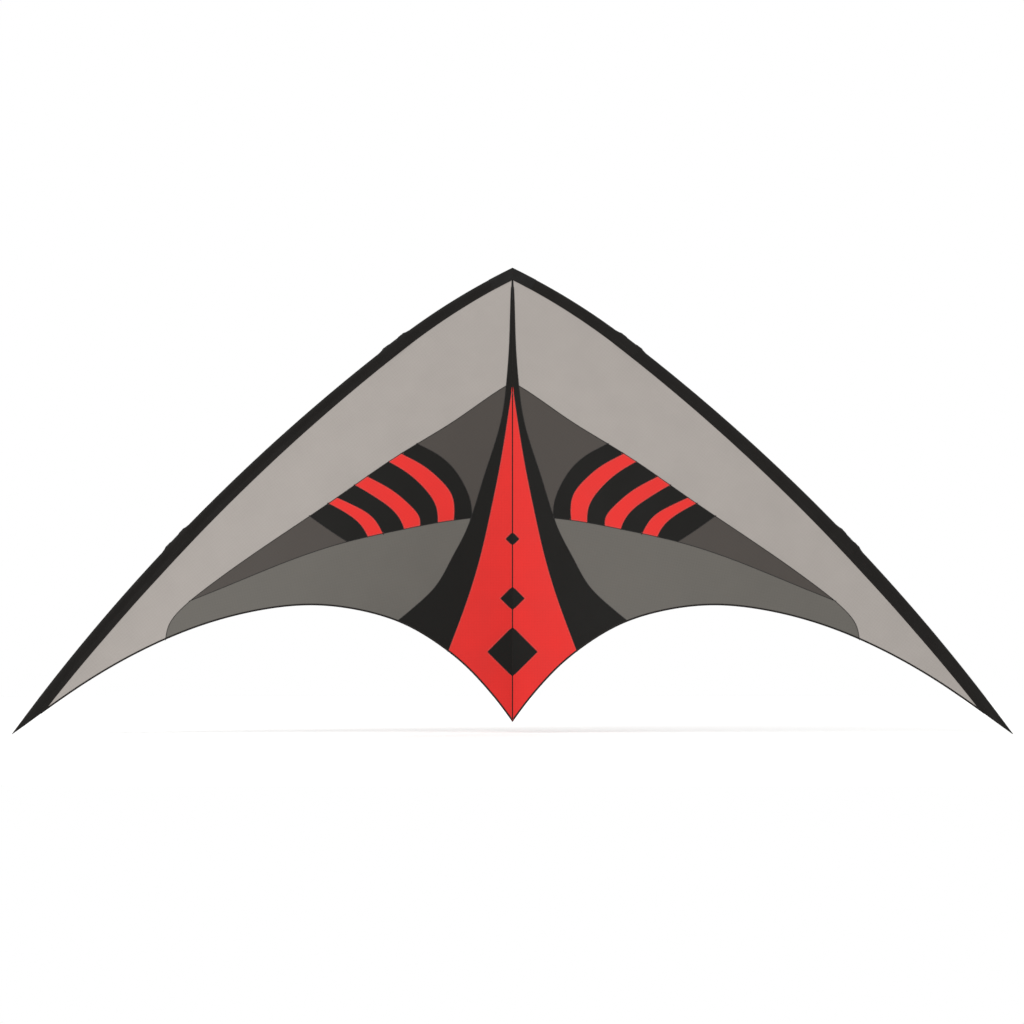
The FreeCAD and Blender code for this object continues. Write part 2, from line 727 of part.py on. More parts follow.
def make_standoff():
    """Short rod that pushes the trailing edge off the lower spreader, with a clip, a foot and its saddle."""
    inner, outer = rod_line()
    share = (size("standoff_station") - inner.x) / (outer.x - inner.x)
    pivot = inner + (outer - inner) * share
    rod_axis = (outer - inner).normalize()
    foot_rest = sail_point(size("standoff_station"), size("standoff_foot_height"))
    reach = foot_rest + FORE * size("foot_gap") - pivot
    aim = reach - rod_axis * reach.dot(rod_axis)
    foot_end = pivot + aim
    aim = aim.normalize()
    away = aim.cross(rod_axis).normalize()
    if away.y < 0:
        away = away * -1

    start = pivot - rod_axis * (size("standoff_clip_length") / 2)
    stem = size("standoff_stem")
    ring_radius = size("standoff_clip_radius")
    ring = cylinder("standoff_ring", "sizes.standoff_clip_radius", "sizes.standoff_clip_length", start,
                    rod_axis)
    post = cylinder("standoff_post", "sizes.standoff_stem_radius", ring_radius + stem, pivot, aim)
    bore = cylinder("standoff_bore", "sizes.hub_bore_radius", "sizes.standoff_clip_length", start, rod_axis)
    rod_start = pivot + aim * (ring_radius + 1)
    mouth = cylinder("standoff_mouth", f"sizes.standoff_radius + {CLEARANCE}", stem, rod_start, aim)
    both_wings("standoff_clip", cut("standoff_clip_cut", fuse("standoff_clip_solid", [ring, post]),
                                    [bore, mouth]))
    foot_floor, foot_length = 2.0, size("standoff_foot_length")
    tube("right_standoff_rod", ["standoff_radius"], rod_start, foot_end - aim * foot_floor)
    mirrored("left_standoff_rod", nodes["right_standoff_rod"])

    foot_start = foot_end - aim * foot_length
    shoe = cylinder("foot_shoe", "sizes.standoff_foot_radius", foot_length, foot_start, aim)
    shoe_bore = cylinder("foot_bore", f"sizes.standoff_radius + {CLEARANCE}", foot_length - foot_floor,
                         foot_start, aim)
    both_wings("standoff_foot", cut("foot_cut", shoe, [shoe_bore]))
    make_sail_saddle(foot_end - aim * (foot_length / 2), rod_axis, away, aim)


def make_sail_saddle(centre, rod_axis, away, aim):
    """Channel on the sail that the standoff's foot lies in, open towards the flyer."""
    block = V(9.6, 5.6, 14)
    slot = V(7.0, 8.0, 13)
    floor = 0.15
    frame = FreeCAD.Placement(centre, FreeCAD.Rotation(rod_axis, away, aim, "ZXY"))
    seat = box("saddle_block", block, frame)
    gap_centre = V(0, slot.y / 2 - block.y / 2 + floor, (slot.z - block.z) / 2 - 0.9)
    gap = box("saddle_gap", slot, frame.multiply(FreeCAD.Placement(gap_centre, FreeCAD.Rotation())))
    both_wings("sail_saddle", cut("sail_saddle_cut", seat, [gap]))


# ---------------------------------------------------------------- build, check and write

make_spine()
make_centre_tee()
make_centre_cloth()
make_leading_edge()
make_spar_caps()
make_edge_clips()
make_sail()
make_lower_spreader()
make_tee_arm()
make_upper_spreader()
make_standoff()
doc.recompute()

for obj in doc.Objects:
    if "Invalid" in obj.State or "Error" in obj.State:
        raise RuntimeError(f"{obj.Label} failed: {obj.State}")
for label, node in nodes.items():
    if node.Shape.isNull() or not node.Shape.isValid() or not node.Shape.Solids:
        raise RuntimeError(f"{label} has no sound solid")

os.makedirs("parts", exist_ok=True)
for label, node in nodes.items():
    node.Shape.exportStep(f"parts/{label}.step")
print(len(nodes), "pieces written")
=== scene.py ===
import json
import math

import bpy
import numpy as np
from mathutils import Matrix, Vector, noise
from mathutils.geometry import delaunay_2d_cdt
from mathutils.kdtree import KDTree


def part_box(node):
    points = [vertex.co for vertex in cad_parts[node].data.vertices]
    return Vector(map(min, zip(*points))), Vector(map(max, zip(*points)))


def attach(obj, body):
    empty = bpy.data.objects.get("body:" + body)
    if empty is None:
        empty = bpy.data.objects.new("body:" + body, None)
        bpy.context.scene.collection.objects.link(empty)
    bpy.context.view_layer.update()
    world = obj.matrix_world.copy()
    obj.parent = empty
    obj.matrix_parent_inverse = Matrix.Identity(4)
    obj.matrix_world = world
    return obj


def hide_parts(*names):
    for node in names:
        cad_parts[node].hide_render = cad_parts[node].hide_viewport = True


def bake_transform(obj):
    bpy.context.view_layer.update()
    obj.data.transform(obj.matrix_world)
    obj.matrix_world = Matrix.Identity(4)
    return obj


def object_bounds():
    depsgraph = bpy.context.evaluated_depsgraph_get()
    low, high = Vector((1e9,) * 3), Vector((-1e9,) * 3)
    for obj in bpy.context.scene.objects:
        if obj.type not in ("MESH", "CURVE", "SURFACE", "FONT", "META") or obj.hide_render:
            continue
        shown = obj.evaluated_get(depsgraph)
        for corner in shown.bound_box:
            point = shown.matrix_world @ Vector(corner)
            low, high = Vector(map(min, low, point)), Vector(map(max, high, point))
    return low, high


# Delta kite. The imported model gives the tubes, caps and fittings, which stay as they are and get
# their finish here. Everything sewn is built here: sail panels, laps, stitching, hem, sleeves,
# nose and tail webbing. Lengths are in millimetres in the row frame until a mesh is made.

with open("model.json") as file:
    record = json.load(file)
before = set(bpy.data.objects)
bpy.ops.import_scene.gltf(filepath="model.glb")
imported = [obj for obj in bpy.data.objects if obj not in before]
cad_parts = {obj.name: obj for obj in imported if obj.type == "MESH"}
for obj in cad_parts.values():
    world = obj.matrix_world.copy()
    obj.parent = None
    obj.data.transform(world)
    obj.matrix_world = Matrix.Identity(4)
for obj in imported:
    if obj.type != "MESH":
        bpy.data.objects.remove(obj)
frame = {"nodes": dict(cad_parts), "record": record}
cad_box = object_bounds()

MM = 0.001
SIDES = {"left": -1, "right": 1}


def middle(node):
    low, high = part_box(node)
    return (low + high) / 2 / MM


SEAM = middle("centre_seam_tape")
SPINE = middle("spine_rod")
SPINE_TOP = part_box("spine_nose_cap")[1].z / MM
TAIL_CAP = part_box("spine_tail_cap")[0].z / MM
CAP_RADIUS = (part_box("spine_nose_cap")[1].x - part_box("spine_nose_cap")[0].x) / MM / 2

# ---------------- sizes

NOSE_APEX = 487.0
CHORD = Vector((898, -110, -839)).normalized()
PLANE_LEAN = 0.35
EDGE_RISE = 2.0
NOSE_ANGLE, SHOULDER_ANGLE, TIP_ANGLE = (math.radians(degrees) for degrees in (18.1, 5.8, -11.5))
SHOULDER_RUN, EDGE_RUN = 242.0, 1245.0
BILLOW = 85.0
HALF_SPAN = 900.0
HALF_PLATE = 0.4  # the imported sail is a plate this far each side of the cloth

CLOTH = 0.2
SLEEVE_PLY = 0.3
SLEEVE_RADIUS = 4.8
SLEEVE_REACHES = ([0, 275, 620, 850, 1000, 1150], [14.6, 17.4, 20.0, 21.3, 20.3, 18.0])  # at these runs
SLEEVE_START = 18.0
SPAR_END = 1208.0
PLY_OFFSET = 0.32
FITTING_RUNS = (251.0, 786.0)
CUTOUT = 42.0
CUTOUT_REACH = 9.5
COVER_RADIUS = 7.4
OPENING_LIP, NECK_LIP = 7.0, 4.8
CLOTH_UNDER_SLEEVE = 11.5
INNER_EDGE = 0.6
CLEAR_OF_FOLD = 2.2
HEM_FROM_FOLD = 1.5
TAIL_TIP = -332.0
CUFF = 5.0
PROUD = 0.34  # the middle of a second ply, from the middle of the one under it
CLOTH_END = 880.0
LAP = 6.5
BESIDE_SEAM = 1.1
CELL = 5.0

TRAILING_EDGE = [(-25, -367), (0, -332), (25, -298), (54, -263), (90, -226), (127, -196), (199, -153),
                 (272, -130), (362, -119.5), (453, -128), (562, -156), (671, -202), (780, -265),
                 (903, -352), (960, -392)]
FLARE_OUTER = [(-3, 520), (1.5, 470), (6, 348), (10.3, 290), (20.5, 216), (50, 119), (70, 54), (85, 13),
               (110, -35), (138, -84), (174, -120), (204, -145), (240, -172)]
RED_EDGE = [(-6, 330), (0, 285), (9.8, 216), (25, 125), (42, 42), (57, -24), (86, -120), (115, -198),
            (136, -255)]
UPPER_SEAM = [(-40, 306), (13.6, 277), (103, 216), (202, 155), (317, 76), (463, -23), (556, -90),
              (601, -128), (621, -154), (628, -205)]
LOWER_SEAM = [(20, 44), (74, 38), (136, 29.5), (200, 17), (299, -5), (414, -43), (495, -76), (564, -104),
              (620, -126)]
BLOCK_INNER = [(210, 195), (173, 173), (139, 155), (110, 131), (86, 94), (76, 66), (74, 42), (78, 10)]
BLOCK_OUTER = [(400, 66), (368, 42), (333, 17), (299, -5), (266, -24)]
STRIPE_EDGES = [
    [(238, 178), (201, 155), (164, 135), (131, 108), (109, 78), (105, 54), (110, 10)],
    [(262, 160), (227, 141), (192, 120), (159, 90), (139, 58), (136, 32), (138, 5)],
    [(300, 133), (264, 114), (220, 90), (184, 60), (168, 38), (172, 5)],
    [(322, 116), (287, 98), (244, 72), (212, 46), (198, 21), (194, -3)],
    [(350, 90), (317, 75), (285, 60), (252, 38), (238, 17), (228, -6)],
    [(370, 84), (337, 66), (301, 46), (273, 22), (263, 4.5), (256, -14)],
]
DIAMONDS = [(0, 12), (-108, 21.5), (-205, 45)]  # height and half diagonal


# ---------------- leading edge and sail surface

flat_out = Vector((839, 0, 898)).normalized()
out_guess = flat_out + Vector((0, PLANE_LEAN, 0))
OUTWARD = (out_guess - CHORD * out_guess.dot(CHORD)).normalized()
EDGE_ORIGIN = Vector((0, SEAM.y - HALF_PLATE + EDGE_RISE, NOSE_APEX))
ARC_RADII = (SHOULDER_RUN / (NOSE_ANGLE - SHOULDER_ANGLE),
             (EDGE_RUN - SHOULDER_RUN) / (SHOULDER_ANGLE - TIP_ANGLE))


def spar_line(run):
    """Point and tangent of the leading-edge spar's line, run mm from the nose."""
    heading, along, out = NOSE_ANGLE, 0.0, 0.0
    shoulder = min(run, SHOULDER_RUN)
    for length, radius in zip((shoulder, run - shoulder), ARC_RADII):
        turned = heading - length / radius
        along += radius * (math.sin(heading) - math.sin(turned))
        out += radius * (math.cos(turned) - math.cos(heading))
        heading = turned
    point = EDGE_ORIGIN + CHORD * along + OUTWARD * out
    return point, CHORD * math.cos(heading) + OUTWARD * math.sin(heading)


EDGE_TABLE = np.array([spar_line(run)[0] for run in np.arange(0.0, EDGE_RUN + 40, 2.0)])


def smoothstep(value):
    value = np.clip(value, 0.0, 1.0)
    return value * value * (3 - 2 * value)


def run_along(points):
    """Distance of each point from the first, along their line."""
    return np.concatenate([[0], np.cumsum(np.linalg.norm(np.diff(points, axis=0), axis=1))])


def wing_depth(across):
    u = across / 300
    return 800 - 385 * u + 76.5 * u * (u - 1) - 15.67 * u * (u - 1) * (u - 2)


def taut_sail(across, height):
    """Y of the sail's middle surface before any folds."""
    edge_y = np.interp(across, EDGE_TABLE[:, 0], EDGE_TABLE[:, 1])
    edge_z = np.interp(across, EDGE_TABLE[:, 0], EDGE_TABLE[:, 2])
    share = np.maximum((edge_z - height) / wing_depth(across), 0)
    station = np.minimum(across / HALF_SPAN, 1)
    belly = np.sin(math.pi * (1.75 * station - 0.75 * station ** 2))
    return edge_y - EDGE_RISE * np.exp(-across / 60) + HALF_PLATE - BILLOW * belly * share ** 1.3


# ---------------- seams and panels, as seen from the front

def smooth_curve(points, step=3.0):
    """Places about step apart on the natural cubic curve through a few points."""
    knots = np.array(points, float)
    spans = np.linalg.norm(np.diff(knots, axis=0), axis=1)
    at = run_along(knots)
    count = len(knots)
    system, right = np.eye(count), np.zeros((count, 2))
    for i in range(1, count - 1):
        before, after = spans[i - 1], spans[i]
        system[i, i - 1:i + 2] = before, 2 * (before + after), after
        right[i] = 6 * ((knots[i + 1] - knots[i]) / after - (knots[i] - knots[i - 1]) / before)
    bend = np.linalg.solve(system, right)
    wanted = np.linspace(0, at[-1], int(at[-1] / step) + 2)
    i = np.clip(np.searchsorted(at, wanted, "right") - 1, 0, count - 2)
    span = spans[i][:, None]
    a = (at[i + 1] - wanted)[:, None] / span
    b = 1 - a
    bulge = ((a ** 3 - a) * bend[i] + (b ** 3 - b) * bend[i + 1]) * span ** 2 / 6
    return a * knots[i] + b * knots[i + 1] + bulge


def straight(start, end, step=3.0):
    return np.linspace(start, end, max(2, int(math.dist(start, end) / step) + 1))


def x_on(curve, height):
    """Across the span, where a seam that falls all the way is at that height."""
    return np.interp(height, curve[::-1, 1], curve[::-1, 0])


def z_on(curve, across):
    return np.interp(across, curve[:, 0], curve[:, 1])


def inward_at(run):
    """Spar point and inward direction at a run, both as seen from the front, and the spar's Y."""
    point, tangent = spar_line(run)
    flat = Vector((tangent.x, tangent.z)).normalized()
    return np.array((point.x, point.z)), np.array((flat.y, -flat.x)), point.y


trailing = smooth_curve(TRAILING_EDGE)
flare_outer = smooth_curve(FLARE_OUTER)
red_edge = smooth_curve(RED_EDGE)
upper_seam = smooth_curve(UPPER_SEAM)
lower_seam = smooth_curve(LOWER_SEAM)
block_inner = smooth_curve(BLOCK_INNER)
block_outer = smooth_curve(BLOCK_OUTER)
stripe_edges = [smooth_curve(points) for points in STRIPE_EDGES]
cloth_top = np.array([place + inward * CLOTH_UNDER_SLEEVE
                      for place, inward, _ in (inward_at(run) for run in np.arange(0.0, 1262, 6.0))])
diamond_edges = [np.concatenate([straight((0, height + half), (half, height)),
                                 straight((half, height), (0, height - half))[1:]])
                 for height, half in DIAMONDS]

# Slot, turn of the grain in degrees, and about the smallest flat rectangle round the cut, in metres. The
# three diamonds are laid end to end. Where two panels meet, the one listed first has the lap.
PANEL_FACTS = {
    "diamond_inlays": ("black_cloth", 0, (0.052, 0.175)),
    "centre_flare_panel": ("black_cloth", 0, (0.115, 0.69)),
    "upper_sail_panel": ("light_grey_cloth", -38, (0.175, 1.17)),
    "trailing_sail_panel": ("mid_grey_cloth", -12, (0.165, 0.59)),
    "centre_red_panel": ("red_cloth", 0, (0.12, 0.62)),
    "red_stripes": ("red_cloth", 35, (0.165, 0.2)),
    "striped_sail_panel": ("black_cloth", 35, (0.16, 0.3)),
    "inner_sail_panel": ("dark_grey_cloth", -30, (0.165, 0.195)),
    "outer_sail_panel": ("dark_grey_cloth", -33, (0.07, 0.305)),
}
PANELS = list(PANEL_FACTS)
(DIAMOND, FLARE, UPPER, TRAILING, CENTRE_RED, STRIPES, STRIPED, INNER, OUTER) = range(len(PANELS))
OUTSIDE = -1


def panel_at(places):
    """Index in PANELS of the cloth at each (across, height), or OUTSIDE."""
    across, height = places[:, 0], places[:, 1]
    crossed = sum((across > x_on(edge, height)).astype(int) for edge in stripe_edges)
    block = np.where(crossed % 2 == 1, STRIPES, STRIPED)
    band = np.where(across > x_on(block_outer, height), OUTER, block)
    band = np.where(across < x_on(block_inner, height), INNER, band)
    band = np.where(height < z_on(lower_seam, across), TRAILING, band)
    above = (height > z_on(upper_seam, across)) | (across > UPPER_SEAM[-1][0])
    wing = np.where(above, UPPER, band)
    wing = np.where(across < x_on(flare_outer, height), FLARE, wing)
    wing = np.where(across < x_on(red_edge, height), CENTRE_RED, wing)
    for centre, half in DIAMONDS:
        wing = np.where(across + np.abs(height - centre) < half, DIAMOND, wing)
    off = (across < INNER_EDGE) | (height < z_on(trailing, across)) | (height > z_on(cloth_top, across))
    off |= across > CLOTH_END
    return np.where(off, OUTSIDE, wing)


def across_curve(curve):
    """Unit directions square to a curve, to its left."""
    along = np.gradient(curve, axis=0)
    along /= np.linalg.norm(along, axis=1)[:, None]
    return np.stack([-along[:, 1], along[:, 0]], axis=1)


def seam_runs(curve):
    """Stretches of a curve with different cloth on each side: points, sides, left and right panel."""
    side = across_curve(curve)
    left, right = panel_at(curve + BESIDE_SEAM * side), panel_at(curve - BESIDE_SEAM * side)
    runs, start = [], 0
    for i in range(1, len(curve) + 1):
        if i == len(curve) or left[i] != left[start] or right[i] != right[start]:
            joins = OUTSIDE not in (left[start], right[start]) and left[start] != right[start]
            if joins and i - start > 1:
                piece = slice(max(start - 1, 0), min(i + 1, len(curve)))
                runs.append((curve[piece], side[piece], left[start], right[start]))
            start = i
    return runs


cloth_seams = [flare_outer, red_edge, upper_seam, lower_seam, block_inner, block_outer]
SEAM_RUNS = [run for curve in cloth_seams + stripe_edges + diamond_edges for run in seam_runs(curve)]


# ---------------- soft folds and seam puckers

def tree_of(places):
    """Search tree of (across, height) places."""
    tree = KDTree(len(places))
    for index, (across, height) in enumerate(places):
        tree.insert((across, 0, height), index)
    tree.balance()
    return tree


PUCKERS = tree_of(np.concatenate([run[0] for run in SEAM_RUNS] + [trailing, cloth_top]))


def relief(x, height):
    """Height of the cloth's long tension folds and of the small puckers beside its stitching."""
    across = np.abs(x)
    along, down = 0.73 * across - 0.68 * height, 0.68 * across + 0.73 * height
    heights = np.zeros(len(across))
    for i in range(len(across)):
        wing = 7.0 if x[i] > 0 else 31.0
        fold = noise.noise((along[i] / 240, down[i] / 46, wing))
        slack = noise.noise((across[i] / 90, height[i] / 130, wing + 5))
        _, nearest, distance = PUCKERS.find((across[i], 0, height[i]))
        pucker = noise.noise((nearest * 0.23, wing, 2.0)) * math.exp(-(distance / 10) ** 2)
        heights[i] = 0.55 * fold + 0.7 * slack + 0.3 * pucker
    return heights * smoothstep((across - 1) / 30)


def sail_y(x, height):
    return taut_sail(np.abs(x), height) + relief(x, height)


# ---------------- meshes

def vertex_normals(points, faces):
    """Normals at the points of a mesh of triangles or of quads."""
    corners = points[faces]
    face_normals = np.cross(corners[:, 2] - corners[:, 0], corners[:, -1] - corners[:, 1])
    normals = np.zeros_like(points)
    for column in range(faces.shape[1]):
        np.add.at(normals, faces[:, column], face_normals)
    return normals / np.maximum(np.linalg.norm(normals, axis=1), 1e-12)[:, None]


def thicken(points, faces, thickness):
    """Both skins and the rim of a sheet, from its middle surface."""
    count = len(points)
    lift = vertex_normals(points, faces) * (thickness / 2)
    starts = faces.ravel()
    ends = np.roll(faces, -1, axis=1).ravel()
    open_edge = ~np.isin(starts * count + ends, ends * count + starts)
    starts, ends = starts[open_edge], ends[open_edge]
    rim = np.stack([ends, starts, starts + count, ends + count], axis=1)
    skins = np.concatenate([points + lift, points - lift])
    return skins, [*faces.tolist(), *(faces[:, ::-1] + count).tolist(), *rim.tolist()]


def placed(name, data):
    """Object that shows a mesh, lamp or camera."""
    made = bpy.data.objects.new(name, data)
    bpy.context.scene.collection.objects.link(made)
    return made


def make_piece(name, points, faces, material, uv=None, sharp_over=50):
    """Mesh object from points in mm. uv is in metres of cloth, one pair for each point."""
    mesh = bpy.data.meshes.new(name)
    faces = faces if isinstance(faces, list) else faces.tolist()
    mesh.from_pydata((np.asarray(points) * MM).tolist(), [], faces)
    mesh.materials.append(material)
    mesh.shade_smooth()
    mesh.set_sharp_from_angle(angle=math.radians(sharp_over))
    if uv is not None:
        layer = mesh.uv_layers.new(name="weave")
        loops = np.zeros(len(mesh.loops), np.int32)
        mesh.loops.foreach_get("vertex_index", loops)
        layer.data.foreach_set("uv", (np.asarray(uv) * MM)[loops].astype(np.float32).ravel())
    return placed(name, mesh)


def sheet_piece(name, points, faces, uv, thickness, material):
    skins, walls = thicken(points, faces, thickness)
    return make_piece(name, skins, walls, material, np.concatenate([uv, uv]))


def grid_faces(rows, columns):
    """Quads of a grid of points, row after row."""
    corner = np.arange(rows * columns).reshape(rows, columns)
    quads = [corner[:-1, :-1], corner[:-1, 1:], corner[1:, 1:], corner[1:, :-1]]
    return np.stack([quad.ravel() for quad in quads], axis=1)


def joined(parts):
    """One set of arrays from several (points, faces, uv) of the same kind of face."""
    points, faces, uv, start = [], [], [], 0
    for part_points, part_faces, part_uv in parts:
        points.append(part_points)
        faces.append(part_faces + start)
        uv.append(part_uv)
        start += len(part_points)
    return np.concatenate(points), np.concatenate(faces), np.concatenate(uv)


def on_sail(places, sign, behind=0.0):
    """Points on the sail at (across, height) places; behind moves them towards the flyer."""
    x = sign * places[:, 0]
    return np.stack([x, sail_y(x, places[:, 1]) + behind, places[:, 1]], axis=1)


# ---------------- materials

class Finish:
    """A material under construction: adds nodes and links them."""

    def __init__(self, name, **shader_values):
        self.material = bpy.data.materials.new(name)
        self.material.use_nodes = True
        self.tree = self.material.node_tree
        self.shader = self.tree.nodes["Principled BSDF"]
        for socket, value in shader_values.items():
            self.shader.inputs[socket.replace("_", " ")].default_value = value

    def node(self, kind, settings=None, **inputs):
        made = self.tree.nodes.new("ShaderNode" + kind)
        for key, value in (settings or {}).items():
            setattr(made, key, value)
        for key, value in inputs.items():
            socket = made.inputs[int(key[1:])] if key[0] == "i" and key[1:].isdigit() else made.inputs[key]
            if isinstance(value, bpy.types.NodeSocket):
                self.tree.links.new(value, socket)
            else:
                socket.default_value = value
        return made

    def math(self, operation, first, second=0.0):
        return self.node("Math", {"operation": operation}, i0=first, i1=second).outputs[0]

    def ramp(self, value, low, high, to_low, to_high):
        made = self.node("MapRange", {"clamp": True}, i0=value, i1=low, i2=high, i3=to_low, i4=to_high)
        return made.outputs[0]

    def noise(self, vector, scale, detail=3.0):
        return self.node("TexNoise", None, Vector=vector, Scale=scale, Detail=detail).outputs["Fac"]

    def woven(self, pitch):
        """Cloth coordinates, the two directions of the threads, and a weave of threads pitch metres apart."""
        uv = self.node("UVMap", {"uv_map": "weave"}).outputs[0]
        axes = self.node("SeparateXYZ", None, i0=uv).outputs[:2]
        threads = [self.math("SINE", self.math("MULTIPLY", axis, math.pi / pitch)) for axis in axes]
        return uv, axes, self.math("MULTIPLY", *threads)

    def tint(self, colour, factor):
        """The colour made lighter or darker by a factor that varies over the surface."""
        made = self.node("VectorMath", {"operation": "SCALE"}, i0=colour[:3], i3=factor)
        self.tree.links.new(made.outputs[0], self.shader.inputs["Base Color"])

    def bump(self, height, strength, distance):
        made = self.node("Bump", None, Strength=strength, Distance=distance, Height=height)
        self.tree.links.new(made.outputs[0], self.shader.inputs["Normal"])

    def roughness(self, value):
        self.tree.links.new(value, self.shader.inputs["Roughness"])


def linear(red, green, blue):
    """Display colour, 0 to 255, as the linear colour that a shader takes."""
    return tuple(((v / 255 + 0.055) / 1.055) ** 2.4 for v in (red, green, blue)) + (1.0,)


def ripstop(name, colour, specular):
    """Woven sail cloth: plain weave with a doubled thread every few millimetres both ways."""
    finish = Finish(name, Specular_IOR_Level=specular, Sheen_Weight=0.05, Sheen_Roughness=0.4)
    uv, axes, weave = finish.woven(0.0003)
    across = [finish.math("PINGPONG", axis, CELL * MM / 2) for axis in axes]
    rib = finish.math("MAXIMUM", *(finish.ramp(place, 0.00034, 0.00012, 0.0, 1.0) for place in across))
    patches = finish.noise(uv, 14.0, 4.0)
    fibres = finish.noise(uv, 900.0, 2.0)
    shade = finish.ramp(patches, 0.3, 0.7, 0.965, 1.03)
    shade = finish.math("ADD", shade, finish.math("MULTIPLY", rib, -0.075))
    shade = finish.math("ADD", shade, finish.ramp(fibres, 0.3, 0.7, -0.02, 0.02))
    shade = finish.math("ADD", shade, finish.math("MULTIPLY", weave, 0.012))
    finish.tint(colour, shade)
    finish.roughness(finish.ramp(patches, 0.3, 0.7, 0.56, 0.68))
    height = finish.math("ADD", finish.math("MULTIPLY", weave, 0.25), rib)
    finish.bump(finish.math("ADD", height, finish.math("MULTIPLY", fibres, 0.3)), 0.35, 0.0001)
    return finish.material


def heavy_weave(name, colour, pitch, depth, specular):
    """Thick black cloth and webbing: an open basket weave, paler where it has rubbed."""
    finish = Finish(name, Specular_IOR_Level=specular, Sheen_Weight=0.06, Sheen_Roughness=0.5)
    uv, _, weave = finish.woven(pitch)
    patches = finish.noise(uv, 25.0, 5.0)
    rubbed = finish.ramp(patches, 0.58, 0.75, 0.0, 0.35)
    shade = finish.math("ADD", finish.math("MULTIPLY", weave, 0.18), finish.math("ADD", rubbed, 1.0))
    finish.tint(colour, shade)
    finish.roughness(finish.ramp(patches, 0.3, 0.7, 0.6, 0.8))
    finish.bump(weave, 0.5, depth)
    return finish.material


def thread(name, colour):
    """Twisted sewing thread."""
    finish = Finish(name, Specular_IOR_Level=0.25, Sheen_Weight=0.1)
    place = finish.node("TexCoord").outputs["Object"]
    twist = finish.noise(place, 2500.0, 1.0)
    finish.tint(colour, finish.ramp(twist, 0.3, 0.7, 0.8, 1.2))
    finish.roughness(finish.ramp(twist, 0.3, 0.7, 0.5, 0.7))
    finish.bump(twist, 0.4, 0.0001)
    return finish.material


def carbon(name, axis):
    """Wrapped carbon tube: faint rings of tape across the axis under a satin resin skin."""
    finish = Finish(name, Specular_IOR_Level=0.5, Coat_Weight=0.35, Coat_Roughness=0.22)
    place = finish.node("TexCoord").outputs["Object"]
    along = finish.node("VectorMath", {"operation": "DOT_PRODUCT"}, i0=place, i1=axis).outputs["Value"]
    rings = finish.math("SINE", finish.math("MULTIPLY", along, 2 * math.pi / 0.0026))
    grain = finish.noise(place, 700.0, 3.0)
    shade = finish.math("ADD", finish.ramp(grain, 0.3, 0.7, 0.75, 1.25), finish.math("MULTIPLY", rings, 0.16))
    finish.tint(linear(33, 33, 36), shade)
    finish.roughness(finish.ramp(grain, 0.3, 0.7, 0.3, 0.46))
    finish.bump(finish.math("ADD", rings, grain), 0.25, 0.00008)
    return finish.material


def moulded(name, colour, roughness, grain_scale, specular):
    """Moulded rubber or nylon: fine spark-eroded texture and slight bloom."""
    finish = Finish(name, Specular_IOR_Level=specular)
    place = finish.node("TexCoord").outputs["Object"]
    grain = finish.noise(place, grain_scale, 4.0)
    bloom = finish.noise(place, 60.0, 3.0)
    finish.tint(colour, finish.ramp(bloom, 0.35, 0.7, 0.85, 1.3))
    finish.roughness(finish.ramp(bloom, 0.3, 0.7, roughness - 0.07, roughness + 0.07))
    finish.bump(grain, 0.35, 0.00015)
    return finish.material


CLOTH_COLOURS = {"light_grey": (152, 146, 141), "mid_grey": (92, 89, 84), "dark_grey": (67, 62, 58),
                 "black": (20, 19, 17), "red": (207, 40, 36)}
SAIL_FINISH = {f"{name}_cloth": ripstop(f"{name}_ripstop", linear(*colour), 0.12 if name == "black" else 0.2)
               for name, colour in CLOTH_COLOURS.items()}
SLEEVE_FINISH = heavy_weave("sleeve_cloth", linear(22, 20, 18), 0.0011, 0.00012, 0.12)
TAPE_FINISH = heavy_weave("edge_tape", linear(30, 27, 25), 0.0007, 0.00008, 0.12)
WEBBING_FINISH = heavy_weave("webbing", linear(22, 21, 20), 0.0017, 0.0003, 0.15)
# This dark thread also draws the painted shade line along each seam's front.
DARK_THREAD_AND_SHADE = thread("dark_thread_and_shade", linear(24, 22, 21))
PALE_THREAD = thread("pale_thread", linear(186, 92, 86))


# ---------------- stitching

def thread_tube(path, radius):
    """Four-sided thread along a path of points: points and faces."""
    along = np.gradient(path, axis=0)
    side = np.cross(along, (0, 1, 0))
    side /= np.maximum(np.linalg.norm(side, axis=1), 1e-9)[:, None]
    up = np.array((0, radius * 0.8, 0))
    ring = np.stack([path + side * radius, path + up, path - side * radius, path - up], axis=1)
    count = len(path)
    faces = []
    for corner in range(4):
        a = np.arange(count - 1) * 4 + corner
        b = np.arange(count - 1) * 4 + (corner + 1) % 4
        faces.append(np.stack([a, b, b + 4, a + 4], axis=1))
    last = (count - 1) * 4
    faces.append(np.array([[3, 2, 1, 0], [last, last + 1, last + 2, last + 3]]))
    return ring.reshape(-1, 3), np.concatenate(faces)


def spaced(places, step):
    """Places step apart along a line of places."""
    at = run_along(places)
    wanted = np.arange(0, at[-1], step)
    return np.stack([np.interp(wanted, at, places[:, k]) for k in range(places.shape[1])], axis=1)


def zigzag(places, sign, behind, width, step, radius, shift=0.0):
    """Zigzag stitching along a line on the sail; shift moves it to the line's left."""
    line = spaced(places, step)
    if len(line) < 3:
        return None
    swing = np.where(np.arange(len(line)) % 2 == 0, 0.5, -0.5) * width + shift
    line = line + across_curve(line) * swing[:, None]
    line[:, 0] = np.maximum(line[:, 0], INNER_EDGE)
    return thread_tube(on_sail(line, sign, behind), radius)


